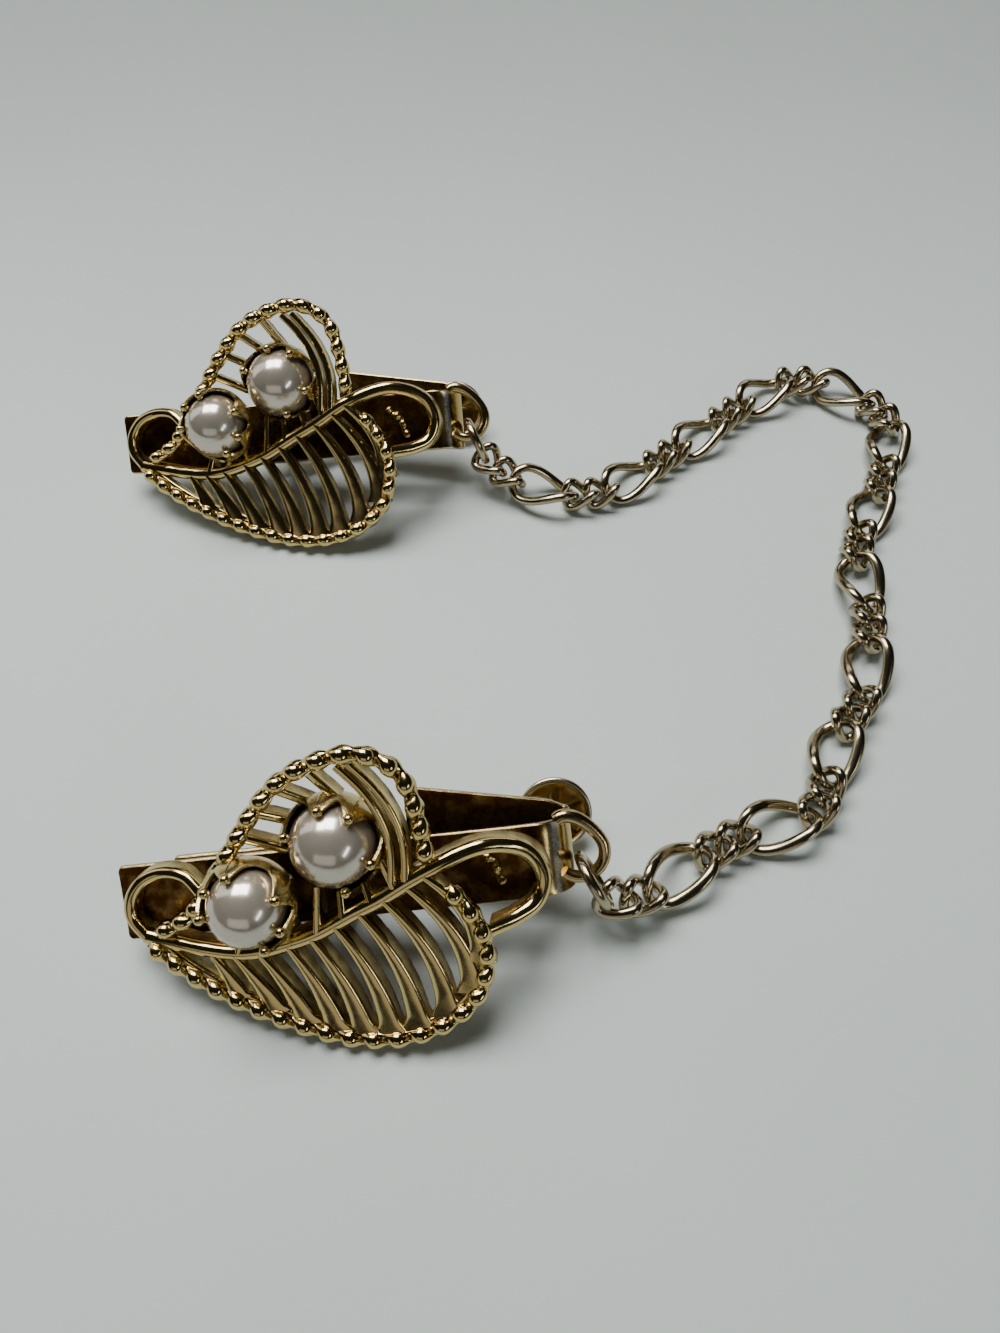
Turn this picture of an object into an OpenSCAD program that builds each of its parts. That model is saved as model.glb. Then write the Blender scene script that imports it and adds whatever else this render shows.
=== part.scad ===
/* [Leaf] */
// Length of the leaf, from its tip to the far side of the stem loop
leaf_len = 31; // [28:0.5:35]
// Width of the leaf between the middles of its two rope edges
leaf_wid = 24; // [21:0.5:27]
// Height of the leaf's dome along its length
dome_h = 1.1; // [0.4:0.1:2.2]
// How far the stem loop drops behind the rope edges
loop_drop = 2.8; // [2:0.1:3.2]
// Width of the twisted rope edge across both strands
rope_d = 1.65; // [1.3:0.05:1.9]
// Length of one bead of the rope, half a turn of its twist
rope_pitch = 1.8; // [1.5:0.05:2.4]
// Width of the polished midrib
midrib_w = 1.25; // [0.9:0.05:1.5]
// Width of a rib at the midrib
rib_w = 0.55; // [0.4:0.05:0.8]
// Width of a lower rib at its foot on the rope
rib_foot_w = 1.4; // [1:0.05:1.6]
// Depth of the cast walls behind the polished faces
wall_depth = 1.5; // [1:0.1:1.6]

/* [Pearls] */
// Diameter of the larger pearl, nearer the stem
pearl_big_d = 6.5; // [5.6:0.1:6.8]
// Diameter of the smaller pearl, nearer the tip
pearl_small_d = 6.05; // [5.2:0.05:6.2]
// Diameter of a claw wire
claw_d = 0.55; // [0.4:0.05:0.65]
// Diameter of the ball on a claw's end
claw_ball_d = 0.75; // [0.6:0.05:1]
// Gap between a pearl and its setting
pearl_gap = 0.08; // [0.04:0.01:0.15]

/* [Clip mechanism] */
// Width of the base strip
strip_w = 6; // [5.2:0.1:6.6]
// Length of the base strip from its square end to the middle of its fold
strip_len = 34; // [33:0.25:35]
// Thickness of the brass sheet of base strip and lever
sheet_t = 0.45; // [0.3:0.05:0.5]
// Radius of the bend where the base strip turns back
fold_r = 2.9; // [2.6:0.1:3.1]
// Length of the spring arm, back from the fold
spring_len = 12.5; // [11.5:0.1:13]
// Angle that the spring arm stands off the base strip
spring_angle = 2.5; // [2:0.5:3]
// Distance of the pivot from the strip's square end
pivot_x = 16.5; // [15.5:0.25:17.5]
// Diameter of the pivot pin
pin_d = 1; // [0.8:0.05:1.2]
// Running clearance round the pivot pin
pin_gap = 0.05; // [0.02:0.01:0.08]
// Diameter of the thumb tab
tab_d = 6.2; // [5.6:0.1:6.4]
// How far the jaw's end stays short of the strip's square end
jaw_short = 4.1; // [3:0.1:6]
// Gap between the closed jaw and the base strip
jaw_gap = 0.1; // [0.06:0.01:0.25]
// Gap left between soldered pieces
solder_gap = 0.06; // [0.03:0.01:0.1]

/* [Chain] */
// Diameter of the chain wire
wire_d = 0.88; // [0.8:0.02:0.92]
// Length of a large oval link
big_l = 7.7; // [7.65:0.05:7.75]
// Width of a large oval link
big_w = 4.9; // [4.6:0.1:5.4]
// Length of a small link
small_l = 4.2; // [4.2:0.05:4.25]
// Width of a small link
small_w = 3.5; // [3.4:0.05:3.7]
// Outer diameter of a jump ring
ring_d = 5.2; // [5:0.1:5.6]
// Diameter of the jump ring's wire
ring_wire = 0.85; // [0.7:0.05:0.9]

/* [Hidden] */

// The clips lean on the rope edge as they lie: turn, then the place of the leaf's tip
LEAN = [47.9, -10.7, 0];
NEAR_TIP = [-30.2, -29.5, 4.42];
FAR_TIP = [-40.1, 20, 4.42];
NEAR_TURN = 1.3;
FAR_TURN = -1.1;

// The chain's route on the surface, hand-chosen points [x, y, z] from the far clip to the near
ROUTE = [
    [-3, 20.8, 2.65], [0.4, 19.2, 1.8], [5.9, 18.3, 1.4], [10.7, 20.3, 1.4], [15.2, 24.1, 1.4],
    [19.6, 27.7, 1.4], [24.2, 31.7, 1.6], [29, 35.1, 1.8], [33.8, 35.3, 1.6], [38, 32.9, 1.4],
    [40.2, 28.7, 1.4], [38.8, 23.9, 1.4], [36.9, 18.9, 1.4], [34.2, 13.9, 1.4], [32.6, 8.9, 1.6],
    [32.6, 3.5, 1.8], [31.6, -2.3, 1.6], [30.6, -6.1, 1.4], [27.8, -9.7, 1.4], [26.2, -11.7, 1.6],
    [25.6, -14.1, 1.6], [25, -16.7, 1.6], [23.4, -18.5, 1.4], [18.8, -19.5, 1.45],
    [14, -21.9, 1.6], [10.4, -24.7, 2.2], [7.6, -26.1, 2.9]
];

// Outlines as shares [u, v] of leaf_len and leaf_wid, the tip at 0, 0
LOWER_EDGE = [[0.014, -0.035], [0.1, -0.135], [0.19, -0.218], [0.289, -0.292],
    [0.394, -0.354], [0.497, -0.399], [0.612, -0.413], [0.718, -0.384], [0.808, -0.303],
    [0.85, -0.176], [0.842, -0.05], [0.784, 0.083]];
UPPER_EDGE = [[0.045, 0], [0.13, 0.045], [0.185, 0.105], [0.235, 0.18], [0.3, 0.28],
    [0.362, 0.375], [0.442, 0.468], [0.54, 0.521], [0.645, 0.527], [0.725, 0.45],
    [0.748, 0.315], [0.75, 0.16]];
// Midrib and stem loop as shares [u, v, drop], drop a share of loop_drop
MIDRIB = [[0.005, -0.015, 0], [0.065, -0.035, 0], [0.148, -0.063, 0], [0.232, -0.083, 0],
    [0.297, -0.083, 0], [0.377, -0.063, 0], [0.458, -0.033, 0], [0.545, 0.017, 0],
    [0.632, 0.063, 0], [0.74, 0.13, 0], [0.852, 0.168, 0.3], [0.929, 0.15, 0.65],
    [0.98, 0.096, 0.92], [0.998, 0.012, 1], [0.975, -0.055, 0.85], [0.926, -0.083, 0.5],
    [0.868, -0.088, 0.05]];
TIP_LOOP = [[0.01, -0.015, 0], [-0.018, 0.05, 0], [-0.008, 0.117, 0.05], [0.032, 0.171, 0.12],
    [0.087, 0.192, 0.2], [0.145, 0.179, 0.15], [0.185, 0.13, 0]];
// Lower ribs as shares [top u, top v, foot u, foot v, bow u]
LOWER_RIBS = [
    [0.181, -0.085, 0.227, -0.239, 0.004], [0.237, -0.085, 0.318, -0.297, 0.006],
    [0.302, -0.083, 0.389, -0.342, 0.009], [0.377, -0.062, 0.457, -0.375, 0.013],
    [0.439, -0.042, 0.522, -0.391, 0.017], [0.503, -0.01, 0.589, -0.398, 0.022],
    [0.567, 0.025, 0.658, -0.389, 0.027], [0.629, 0.062, 0.733, -0.355, 0.033],
    [0.69, 0.095, 0.8, -0.284, 0.037], [0.735, 0.12, 0.833, -0.18, 0.036]];
// Upper ribs from the rope to the large pearl's seat: shares [u, v] and the angle round the pearl
UPPER_RIBS = [[0.333, 0.302, 184], [0.385, 0.375, 145], [0.443, 0.442, 110], [0.52, 0.488, 75]];
// Ribs from the midrib up to the seats: shares [u, v] and the angle round the pearl
LARGE_SEAT_RIBS = [[0.458, -0.03, 240], [0.528, 0.01, 269], [0.602, 0.045, 301], [0.665, 0.08, 341]];
SMALL_SEAT_RIBS = [[0.25, -0.08, 239], [0.32, -0.075, 274], [0.392, -0.055, 305]];
// The long pair of ribs beside the crescent opening, shares [u, v]
LONG_RIB = [[0.6, 0.5], [0.64, 0.43], [0.668, 0.36], [0.685, 0.28], [0.686, 0.2],
    [0.675, 0.115]];

// Pearl places as shares [u, v] and their height, with the turn of their six claws
BIG_AT = [0.532 * leaf_len, 0.244 * leaf_wid, -0.015 * pearl_big_d];
SMALL_AT = [0.3226 * leaf_len, 0.106 * leaf_wid, 0.34 * pearl_small_d];
BIG_CLAWS = [49, 91, 152, 284, 339];
SMALL_CLAWS = [20, 98, 136, 178, 294, 333];
CLAW_POLAR = 60;
SEAT_LOW = 0.8;
SEAT_HIGH = 0.42;

// The mechanism's place behind the leaf
MECH_AT = [-1.6, 1.9, -1.5];
MECH_TURN = [-6, 6.6, -2.6];

function dome(u) = dome_h * (0.9 - pow((u - leaf_len * 0.47) / (leaf_len * 0.47), 2));
function at(s) = [s[0] * leaf_len, s[1] * leaf_wid,
    dome(min(s[0], 0.8) * leaf_len) - (len(s) > 2 ? s[2] * loop_drop : 0)];

// Catmull-Rom curve through points p with n steps to a span
function spline_point(a, b, c, d, t) = 0.5 * (2 * b + (c - a) * t
    + (2 * a - 5 * b + 4 * c - d) * t * t + (3 * b - a - 3 * c + d) * t * t * t);
function spline(p, n) = [
    for (i = [0 : len(p) - 2], k = [0 : n - 1])
        spline_point(p[max(i - 1, 0)], p[i], p[i + 1], p[min(i + 2, len(p) - 1)], k / n),
    p[len(p) - 1]];

// Arc length up to each point, and the point at a given length
function lengths(p, i = 1, run = [0]) = i >= len(p) ? run
    : lengths(p, i + 1, concat(run, [run[i - 1] + norm(p[i] - p[i - 1])]));
function span_of(s, d, i = 1) = i >= len(s) - 1 || s[i] >= d ? i : span_of(s, d, i + 1);
function point_at(p, s, d) = let (i = span_of(s, d), t = (d - s[i - 1]) / (s[i] - s[i - 1]))
    p[i - 1] + (p[i] - p[i - 1]) * t;
function evenly(p, n) = let (s = lengths(p), total = s[len(s) - 1])
    [for (k = [0 : n]) point_at(p, s, total * k / n)];

function unit(v) = v / norm(v);
function heading(p, i) = unit(p[min(i + 1, len(p) - 1)] - p[max(i - 1, 0)]);
function side_of(h) = unit(cross([0, 0, 1], h));

// Faces of a tube of n rings with m points each, the ends closed
function tube_faces(n, m) = concat(
    [[for (k = [0 : m - 1]) k]],
    [for (i = [0 : n - 2], k = [0 : m - 1])
        each [[i * m + k, (i + 1) * m + k, (i + 1) * m + (k + 1) % m],
              [i * m + k, (i + 1) * m + (k + 1) % m, i * m + (k + 1) % m]]],
    [[for (k = [m - 1 : -1 : 0]) (n - 1) * m + k]]);
module tube(rings) {
    polyhedron(points = [for (r = rings) each r], faces = tube_faces(len(rings), len(rings[0])),
        convexity = 8);
}

// A wall with a rounded top carried along points p, w0 to w1 wide; its depth d starts at a share
module wall(p, w0, w1, d, share = 1) {
    tube([for (i = [0 : len(p) - 1])
        let (s = side_of(heading(p, i)), w = (w0 + (w1 - w0) * i / (len(p) - 1)) / 2,
             low = -d * min(1, share + (1 - share) * i / 3))
        [for (c = [[-1, low], [1, low], [1, -0.1], [0, 0.2], [-1, -0.1]])
            p[i] + s * c[0] * w + [0, 0, c[1]]]]);
}

// Two-strand twisted rope: a two-lobed section turned half a turn a bead
module rope(p) {
    steps = 3;
    total = lengths(p)[len(p) - 1];
    n = round(total / rope_pitch) * steps;
    q = evenly(p, n);
    tube([for (i = [0 : n])
        let (h = heading(q, i), s = side_of(h), w = cross(h, s), turn = 180 * i / steps)
        [for (k = [0 : 5])
            let (a = 60 * k, r = rope_d / 2 * (0.8 + 0.2 * cos(2 * (a - turn))))
            q[i] + s * r * cos(a) + w * r * sin(a)]]);
}

function rib_path(r) = let (a = at([r[0], r[1]]), b = at([r[2], r[3]]))
    [for (k = [0 : 3]) let (t = k / 3, u = a[0] + (b[0] - a[0]) * t + 4 * t * (1 - t) * r[4] * leaf_len)
        [u, a[1] + (b[1] - a[1]) * t, dome(min(u, leaf_len * 0.8))]];

// One claw: rises from the seat round the pearl's side and ends in a ball
module claw(c, r, turn) {
    reach = r + pearl_gap + claw_d / 2 + 0.05;
    path = [for (e = [-42, -14, 14, 90 - CLAW_POLAR])
        c + reach * [cos(turn) * cos(e), sin(turn) * cos(e), sin(e)]];
    tube([for (i = [0 : len(path) - 1])
        let (h = heading(path, i), s = [-sin(turn), cos(turn), 0], w = cross(h, s))
        [for (k = [0 : 3]) path[i] + claw_d / 2 * (s * cos(90 * k) + w * sin(90 * k))]]);
    ball = r + pearl_gap + claw_ball_d * 0.5;
    hull()
        translate(c + ball * [cos(turn) * sin(CLAW_POLAR), sin(turn) * sin(CLAW_POLAR),
                              cos(CLAW_POLAR)])
            sphere(d = claw_ball_d, $fn = 6);
}

// The seat under a pearl: a ring of the pearl's own slope
module seat(c, r) {
    low = r * SEAT_LOW;
    high = r * SEAT_HIGH;
    inner = [sqrt(r * r - low * low) + pearl_gap + 0.18, sqrt(r * r - high * high) + pearl_gap + 0.2];
    translate(c)
        rotate_extrude($fn = 12)
            polygon([[inner[0], -low], [inner[0] + 0.75, -low], [inner[1] + 0.5, -high],
                     [inner[1], -high]]);
}

// A straight rib from the leaf to a seat: it ends out from pearl c's side and up from its seat
module seat_rib(s, c, r, out, up, w, depth) {
    wall([at([s[0], s[1]]),
          c + [(r + out) * cos(s[2]), (r + out) * sin(s[2]), up - r * SEAT_HIGH]], w, w, depth);
}

// Height of the base strip's front face below leaf point u, v
function strip_front(u, v) = MECH_AT[2]
    - (sin(MECH_TURN[1]) * (u - MECH_AT[0]) - sin(MECH_TURN[0]) * (v - MECH_AT[1])) / cos(MECH_TURN[1]);
// A solder foot from height z down to the base strip
module foot(u, v, z, d) {
    low = strip_front(u, v) + solder_gap + d * 0.12;
    translate([u, v, low]) cylinder(d = d, h = z - low, $fn = 6);
}

module leaf() {
    big_r = pearl_big_d / 2;
    small_r = pearl_small_d / 2;
    color([0.83, 0.68, 0.38]) {
        rope(spline([for (s = LOWER_EDGE) at(s)], 5));
        rope(spline([for (s = UPPER_EDGE) at(s)], 5));
        wall(evenly(spline([for (s = MIDRIB) at(s)], 4), 24), midrib_w, midrib_w, wall_depth, 0.8);
        wall(spline([for (s = TIP_LOOP) at(s)], 2), midrib_w * 0.8, midrib_w * 0.8,
            wall_depth * 0.85);
        for (r = LOWER_RIBS)
            wall(rib_path(r), rib_w, rib_foot_w, wall_depth);
        for (r = UPPER_RIBS)
            seat_rib(r, BIG_AT, big_r, 0.25, wall_depth - 0.15, 0.7, wall_depth);
        for (r = LARGE_SEAT_RIBS)
            seat_rib(r, BIG_AT, big_r, 0.25, wall_depth + 0.45, 0.6, wall_depth + 0.6);
        for (r = SMALL_SEAT_RIBS)
            seat_rib(r, SMALL_AT, small_r, 0.02, -0.35, 0.6, wall_depth + 0.6);
        for (off = [-0.5, 0.5])
            wall([for (s = LONG_RIB) at(s) + [off, 0, 0]], 0.6, 0.6, wall_depth);
        seat(BIG_AT, big_r);
        seat(SMALL_AT, small_r);
        for (a = BIG_CLAWS)
            claw(BIG_AT, big_r, a);
        for (a = SMALL_CLAWS)
            claw(SMALL_AT, small_r, a);
        foot(BIG_AT[0] - 1.5, BIG_AT[1] - 2.4, BIG_AT[2] - big_r * 0.6, 1.1);
        foot(BIG_AT[0] + 1.5, BIG_AT[1] - 2.4, BIG_AT[2] - big_r * 0.6, 1.1);
        foot(SMALL_AT[0] - 0.4, SMALL_AT[1] - 2.9, SMALL_AT[2] - small_r * 0.6, 1);
        foot(-0.008 * leaf_len, 0.11 * leaf_wid, -0.6, 1);
    }
}

module large_pearl() {
    color([0.95, 0.93, 0.9]) translate(BIG_AT) sphere(d = pearl_big_d, $fn = 48);
}
module small_pearl() {
    color([0.95, 0.93, 0.9]) translate(SMALL_AT) sphere(d = pearl_small_d, $fn = 48);
}

// Everything below is in the mechanism's own frame: x along the strip, y across, z to the front
EAR_Y = 2;
EAR_T = 0.4;
EAR_R = 0.95;
PIVOT_Z = -2.1;
TAIL_Z = -3.45;
SPRING_RISE = 2.4;
TAB_AT = [strip_len, 1.5, -7.4];
LOOP_AT = [strip_len + 1.5, 0, -1.05];
LOOP_R = 1.95;
LOOP_WIRE = 0.9;

// A bent sheet: the polygon round path p, half of t to each side
function edge_dir(p, i) = unit(p[i + 1] - p[i]);
function edge_normal(p, i) = [-edge_dir(p, i)[1], edge_dir(p, i)[0]];
function corner(p, i, t) = let (a = edge_normal(p, max(i - 1, 0)), b = edge_normal(p, min(i, len(p) - 2)))
    p[i] + (a + b) * t / (1 + a * b);
module bent(p, t) {
    polygon(concat([for (i = [0 : len(p) - 1]) corner(p, i, t / 2)],
                   [for (i = [len(p) - 1 : -1 : 0]) corner(p, i, -t / 2)]));
}
// The side profile, drawn in x and z, spread across y by w
module across(w) {
    rotate([90, 0, 0]) translate([0, 0, -w / 2]) linear_extrude(w) children();
}
// The plan outline, drawn in x and y, spread from z0 to z1
module planwise(z0, z1) {
    translate([0, 0, z0]) linear_extrude(z1 - z0) children();
}
module soft_rect(x0, x1, w, r) {
    hull()
        for (x = [x0 + r, x1 - r], y = [-w / 2 + r, w / 2 - r])
            translate([x, y]) circle(r, $fn = 24);
}
module ear(z_end, y) {
    for (s = [-1, 1])
        translate([pivot_x, s * y, 0])
            rotate([90, 0, 0])
                difference() {
                    union() {
                        translate([0, PIVOT_Z, -EAR_T / 2]) cylinder(r = EAR_R, h = EAR_T, $fn = 32);
                        translate([-EAR_R, min(PIVOT_Z, z_end), -EAR_T / 2])
                            cube([2 * EAR_R, abs(z_end - PIVOT_Z), EAR_T]);
                    }
                    translate([0, PIVOT_Z, -EAR_T])
                        cylinder(d = pin_d + 2 * pin_gap, h = 2 * EAR_T, $fn = 32);
                }
}

module base_strip() {
    start = strip_len - 2;
    bend = [for (a = [0 : 15 : 75])
        [start + fold_r * sin(a), -sheet_t / 2 - fold_r * (1 - cos(a))]];
    corner = bend[5] + [0.05, -0.35];
    arm_end = corner - spring_len * [cos(spring_angle), sin(spring_angle)];
    color([0.72, 0.56, 0.28]) {
        intersection() {
            across(strip_w + 2)
                bent(concat([[0, -sheet_t / 2]], bend, [corner, corner - [0.3, 0.25]]), sheet_t);
            planwise(-4, 1)
                soft_rect(0, strip_len + 4, strip_w, 0.4);
        }
        intersection() {
            across(3 * strip_w)
                bent([corner - [-0.05, 0.1], arm_end], sheet_t * 0.85);
            planwise(-6, 1)
                hull() {
                    translate([corner[0], -strip_w / 2]) square([0.3, strip_w]);
                    for (y = [-strip_w / 2 + 1.9, strip_w / 2 - 1.5])
                        translate([arm_end[0] + 1.5, y + SPRING_RISE]) circle(1.4, $fn = 24);
                }
        }
        intersection() {
            translate(LOOP_AT)
                rotate_extrude($fn = 48) translate([LOOP_R, 0]) circle(d = LOOP_WIRE, $fn = 24);
            translate([bend[3][0] + 0.1, -strip_w, -3]) cube([9, 2 * strip_w, 5]);
        }
        ear(-sheet_t / 2, EAR_Y);
    }
}

module lever() {
    jaw_z = -sheet_t * 1.5 - jaw_gap;
    color([0.7, 0.55, 0.28]) {
        intersection() {
            across(3 * strip_w)
                bent([[jaw_short, jaw_z], [pivot_x - 4, jaw_z], [pivot_x - 1.8, TAIL_Z],
                      [pivot_x + 1.6, TAIL_Z], [pivot_x + 6, TAIL_Z - 1.55],
                      [TAB_AT[0] - 2.6, TAB_AT[2] + 0.5], [TAB_AT[0] - 1, TAB_AT[2] + 0.05]],
                     sheet_t);
            planwise(-9, 0)
                union() {
                    soft_rect(jaw_short, pivot_x - 2, strip_w + 0.4, 0.5);
                    translate([pivot_x - 3, -strip_w / 2 + 0.1]) square([6, strip_w - 0.2]);
                    polygon([[pivot_x + 2, -2.1], [TAB_AT[0], TAB_AT[1] - 2.2],
                             [TAB_AT[0], TAB_AT[1] + 1.8], [pivot_x + 2, 2.1]]);
                }
        }
        translate(TAB_AT)
            rotate_extrude($fn = 48)
                polygon([[0, -0.25], [tab_d * 0.36, -0.15], [tab_d / 2, 0.3], [tab_d / 2, 0.6],
                         [tab_d / 2 - 0.35, 0.6], [tab_d * 0.36 - 0.15, 0.28], [0, 0.2]]);
        ear(TAIL_Z, EAR_Y + EAR_T + 0.15);
    }
}

module pivot_pin() {
    long = 2 * (EAR_Y + EAR_T + 0.15) + EAR_T + 0.5;
    color([0.6, 0.58, 0.52])
        translate([pivot_x, 0, PIVOT_Z])
            rotate([90, 0, 0]) translate([0, 0, -long / 2]) cylinder(d = pin_d, h = long, $fn = 32);
}

// The jump ring goes through the end loop and round its lower side
RING_AT = LOOP_AT + [0.9, -2.4, 0];
RING_SWING = [21, 26];
function ring_turn(k) = [0, 90, RING_SWING[k]];
module jump_ring(k) {
    color([0.78, 0.66, 0.42])
        translate(RING_AT)
            rotate(ring_turn(k))
                rotate_extrude($fn = 48)
                    translate([(ring_d - ring_wire) / 2, 0]) circle(d = ring_wire, $fn = 24);
}

module in_mech() {
    translate(MECH_AT) rotate([0, MECH_TURN[1], MECH_TURN[2]]) rotate([MECH_TURN[0], 0, 0])
        children();
}
module near_clip() {
    translate(NEAR_TIP) rotate(LEAN + [0, 0, NEAR_TURN]) children();
}
module far_clip() {
    translate(FAR_TIP) rotate(LEAN + [0, 0, FAR_TURN]) children();
}

// The same turns as functions, for the chain's two ends
function rx(p, a) = [p[0], p[1] * cos(a) - p[2] * sin(a), p[1] * sin(a) + p[2] * cos(a)];
function ry(p, a) = [p[0] * cos(a) + p[2] * sin(a), p[1], -p[0] * sin(a) + p[2] * cos(a)];
function rz(p, a) = [p[0] * cos(a) - p[1] * sin(a), p[0] * sin(a) + p[1] * cos(a), p[2]];
function turned(p, t) = rz(ry(rx(p, t[0]), t[1]), t[2]);
function from_mech(p) = MECH_AT + turned(p, MECH_TURN);
function ring_point(k, a, r) = [FAR_TIP, NEAR_TIP][k]
    + turned(from_mech(RING_AT + turned(r * [cos(a), sin(a), 0], ring_turn(k))),
             LEAN + [0, 0, [FAR_TURN, NEAR_TURN][k]]);
// Where the chain's end links hold their rings, just inside the wire: far, then near
HOLD_ANGLE = [-81, -88];
HOLD_R = (ring_d - ring_wire) / 2 - 0.55;
function held(k) = ring_point(k, HOLD_ANGLE[k], HOLD_R);

// The route's ends follow the rings, less with each point away from them
HELD_AT = [[-4.51, 21.71, 3.76], [5.41, -26.39, 3.95]];
FOLLOW = 6;
function follow(i) = (held(0) - HELD_AT[0]) * max(0, 1 - i / FOLLOW)
    + (held(1) - HELD_AT[1]) * max(0, 1 - (len(ROUTE) - 1 - i) / FOLLOW);

// One link: an oval of centre line a by b, its ends twisted to each side of flat by a rise
TWIST = [42, 54];
function link_line(a, b, rise, n) = [for (i = [0 : n - 1]) let (t = 360 * i / n)
    [a * cos(t), b * sin(t), rise * sin(2 * t)]];
function link_rings(line, c, h, s, w) = let (n = len(line)) [
    for (i = [0 : n - 1])
        let (p = line[i], d = unit(line[(i + 1) % n] - line[(i + n - 1) % n]),
             e = unit(cross(d, cross([p[0], 2 * p[1], 0], d))), g = cross(d, e))
        [for (k = [0 : SIDES - 1])
            let (q = p + wire_d / 2 * (e * cos(360 * k / SIDES) + g * sin(360 * k / SIDES)))
            c + h * q[0] + s * q[1] + w * q[2]]];
function link_faces(n, m, first) = [
    for (i = [0 : n - 1], k = [0 : m - 1])
        let (j = (i + 1) % n, l = (k + 1) % m)
        each [[first + i * m + k, first + j * m + k, first + j * m + l],
              [first + i * m + k, first + j * m + l, first + i * m + l]]];

// Links in order: two small ones between one large one and the next
LINKS = 38;
BIG_STEPS = 14;
SMALL_STEPS = 10;
SIDES = 5;
function is_big(i) = i % 3 == 2;
function link_steps(i) = is_big(i) ? BIG_STEPS : SMALL_STEPS;
// Roll of the end links to suit their rings, dying away along the chain
ROLL = [-5, -16];
function roll(i) = ROLL[0] * max(0, 1 - i / 4) + ROLL[1] * max(0, 1 - (LINKS - 1 - i) / 6.5);
function reach(i) = (is_big(i) ? big_l : small_l) - 2 * wire_d;
function summed(i) = i <= 0 ? 0 : summed(i - 1) + reach(i - 1);
function first_point(i) = i <= 0 ? 0 : first_point(i - 1) + link_steps(i - 1) * SIDES;

CHAIN_PATH = spline(concat([held(0)], [for (i = [0 : len(ROUTE) - 1]) ROUTE[i] + follow(i)],
                           [held(1)]), 6);
PATH_RUN = lengths(CHAIN_PATH);
PATH_LEN = PATH_RUN[len(PATH_RUN) - 1];
TAUT_LEN = summed(LINKS);
JOINTS = [for (i = [0 : LINKS]) point_at(CHAIN_PATH, PATH_RUN, PATH_LEN * summed(i) / TAUT_LEN)];

module chain() {
    color([0.8, 0.72, 0.52])
        polyhedron(
            points = [for (i = [0 : LINKS - 1])
                let (h = unit(JOINTS[i + 1] - JOINTS[i]),
                     s = side_of(h) * cos(roll(i)) + cross(h, side_of(h)) * sin(roll(i)),
                     w = cross(h, s),
                     c = (JOINTS[i] + JOINTS[i + 1]) / 2,
                     a = ((is_big(i) ? big_l : small_l) - wire_d) / 2,
                     b = ((is_big(i) ? big_w : small_w) - wire_d) / 2,
                     rise = -b * tan(is_big(i) ? TWIST[0] : TWIST[1]) / 2,
                     line = link_line(a, b, rise, link_steps(i)))
                each [for (r = link_rings(line, c, h, s, w)) each r]],
            faces = [for (i = [0 : LINKS - 1])
                each link_faces(link_steps(i), SIDES, first_point(i))],
            convexity = 20);
}

near_clip() leaf();  // near_leaf
near_clip() large_pearl();  // near_large_pearl
near_clip() small_pearl();  // near_small_pearl
near_clip() in_mech() base_strip();  // near_base_strip
near_clip() in_mech() lever();  // near_lever
near_clip() in_mech() pivot_pin();  // near_pivot_pin
near_clip() in_mech() jump_ring(1);  // near_jump_ring
far_clip() leaf();  // far_leaf
far_clip() large_pearl();  // far_large_pearl
far_clip() small_pearl();  // far_small_pearl
far_clip() in_mech() base_strip();  // far_base_strip
far_clip() in_mech() lever();  // far_lever
far_clip() in_mech() pivot_pin();  // far_pivot_pin
far_clip() in_mech() jump_ring(0);  // far_jump_ring
chain();
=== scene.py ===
from functools import partial

import bpy
import numpy as np
from bpy.props import FloatProperty, FloatVectorProperty, IntProperty, PointerProperty
from mathutils import Matrix
from numpy import arcsin, cos, pi, radians, sin, tan


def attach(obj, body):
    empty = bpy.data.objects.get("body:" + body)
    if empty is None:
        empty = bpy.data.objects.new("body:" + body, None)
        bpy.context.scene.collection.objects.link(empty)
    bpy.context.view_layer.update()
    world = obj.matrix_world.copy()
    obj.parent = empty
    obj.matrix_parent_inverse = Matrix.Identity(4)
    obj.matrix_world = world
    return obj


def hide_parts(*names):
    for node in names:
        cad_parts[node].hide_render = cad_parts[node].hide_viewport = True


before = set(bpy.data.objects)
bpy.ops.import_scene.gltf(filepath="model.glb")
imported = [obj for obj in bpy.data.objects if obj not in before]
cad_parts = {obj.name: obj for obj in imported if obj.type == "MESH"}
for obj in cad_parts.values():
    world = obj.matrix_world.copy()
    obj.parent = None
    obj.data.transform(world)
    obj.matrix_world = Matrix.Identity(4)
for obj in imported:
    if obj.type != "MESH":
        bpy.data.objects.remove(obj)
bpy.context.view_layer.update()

bl_info = {
    "name": "Sweater clip",
    "version": (1, 0, 0),
    "blender": (4, 5, 0),
    "location": "3D View > Sidebar > Sweater clip",
    "description": "Makes the leaf clips, pearls, sprung jaws and chain round the packed model",
    "category": "Object",
}

MM = 0.001

# The camera's place in millimetres and its pitch below level, solved from both clips in the photo
CAMERA_AT = (-2.8, -54.1, 79.35)
CAMERA_PITCH = 56.84
CAMERA_LENS = 27.0
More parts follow.
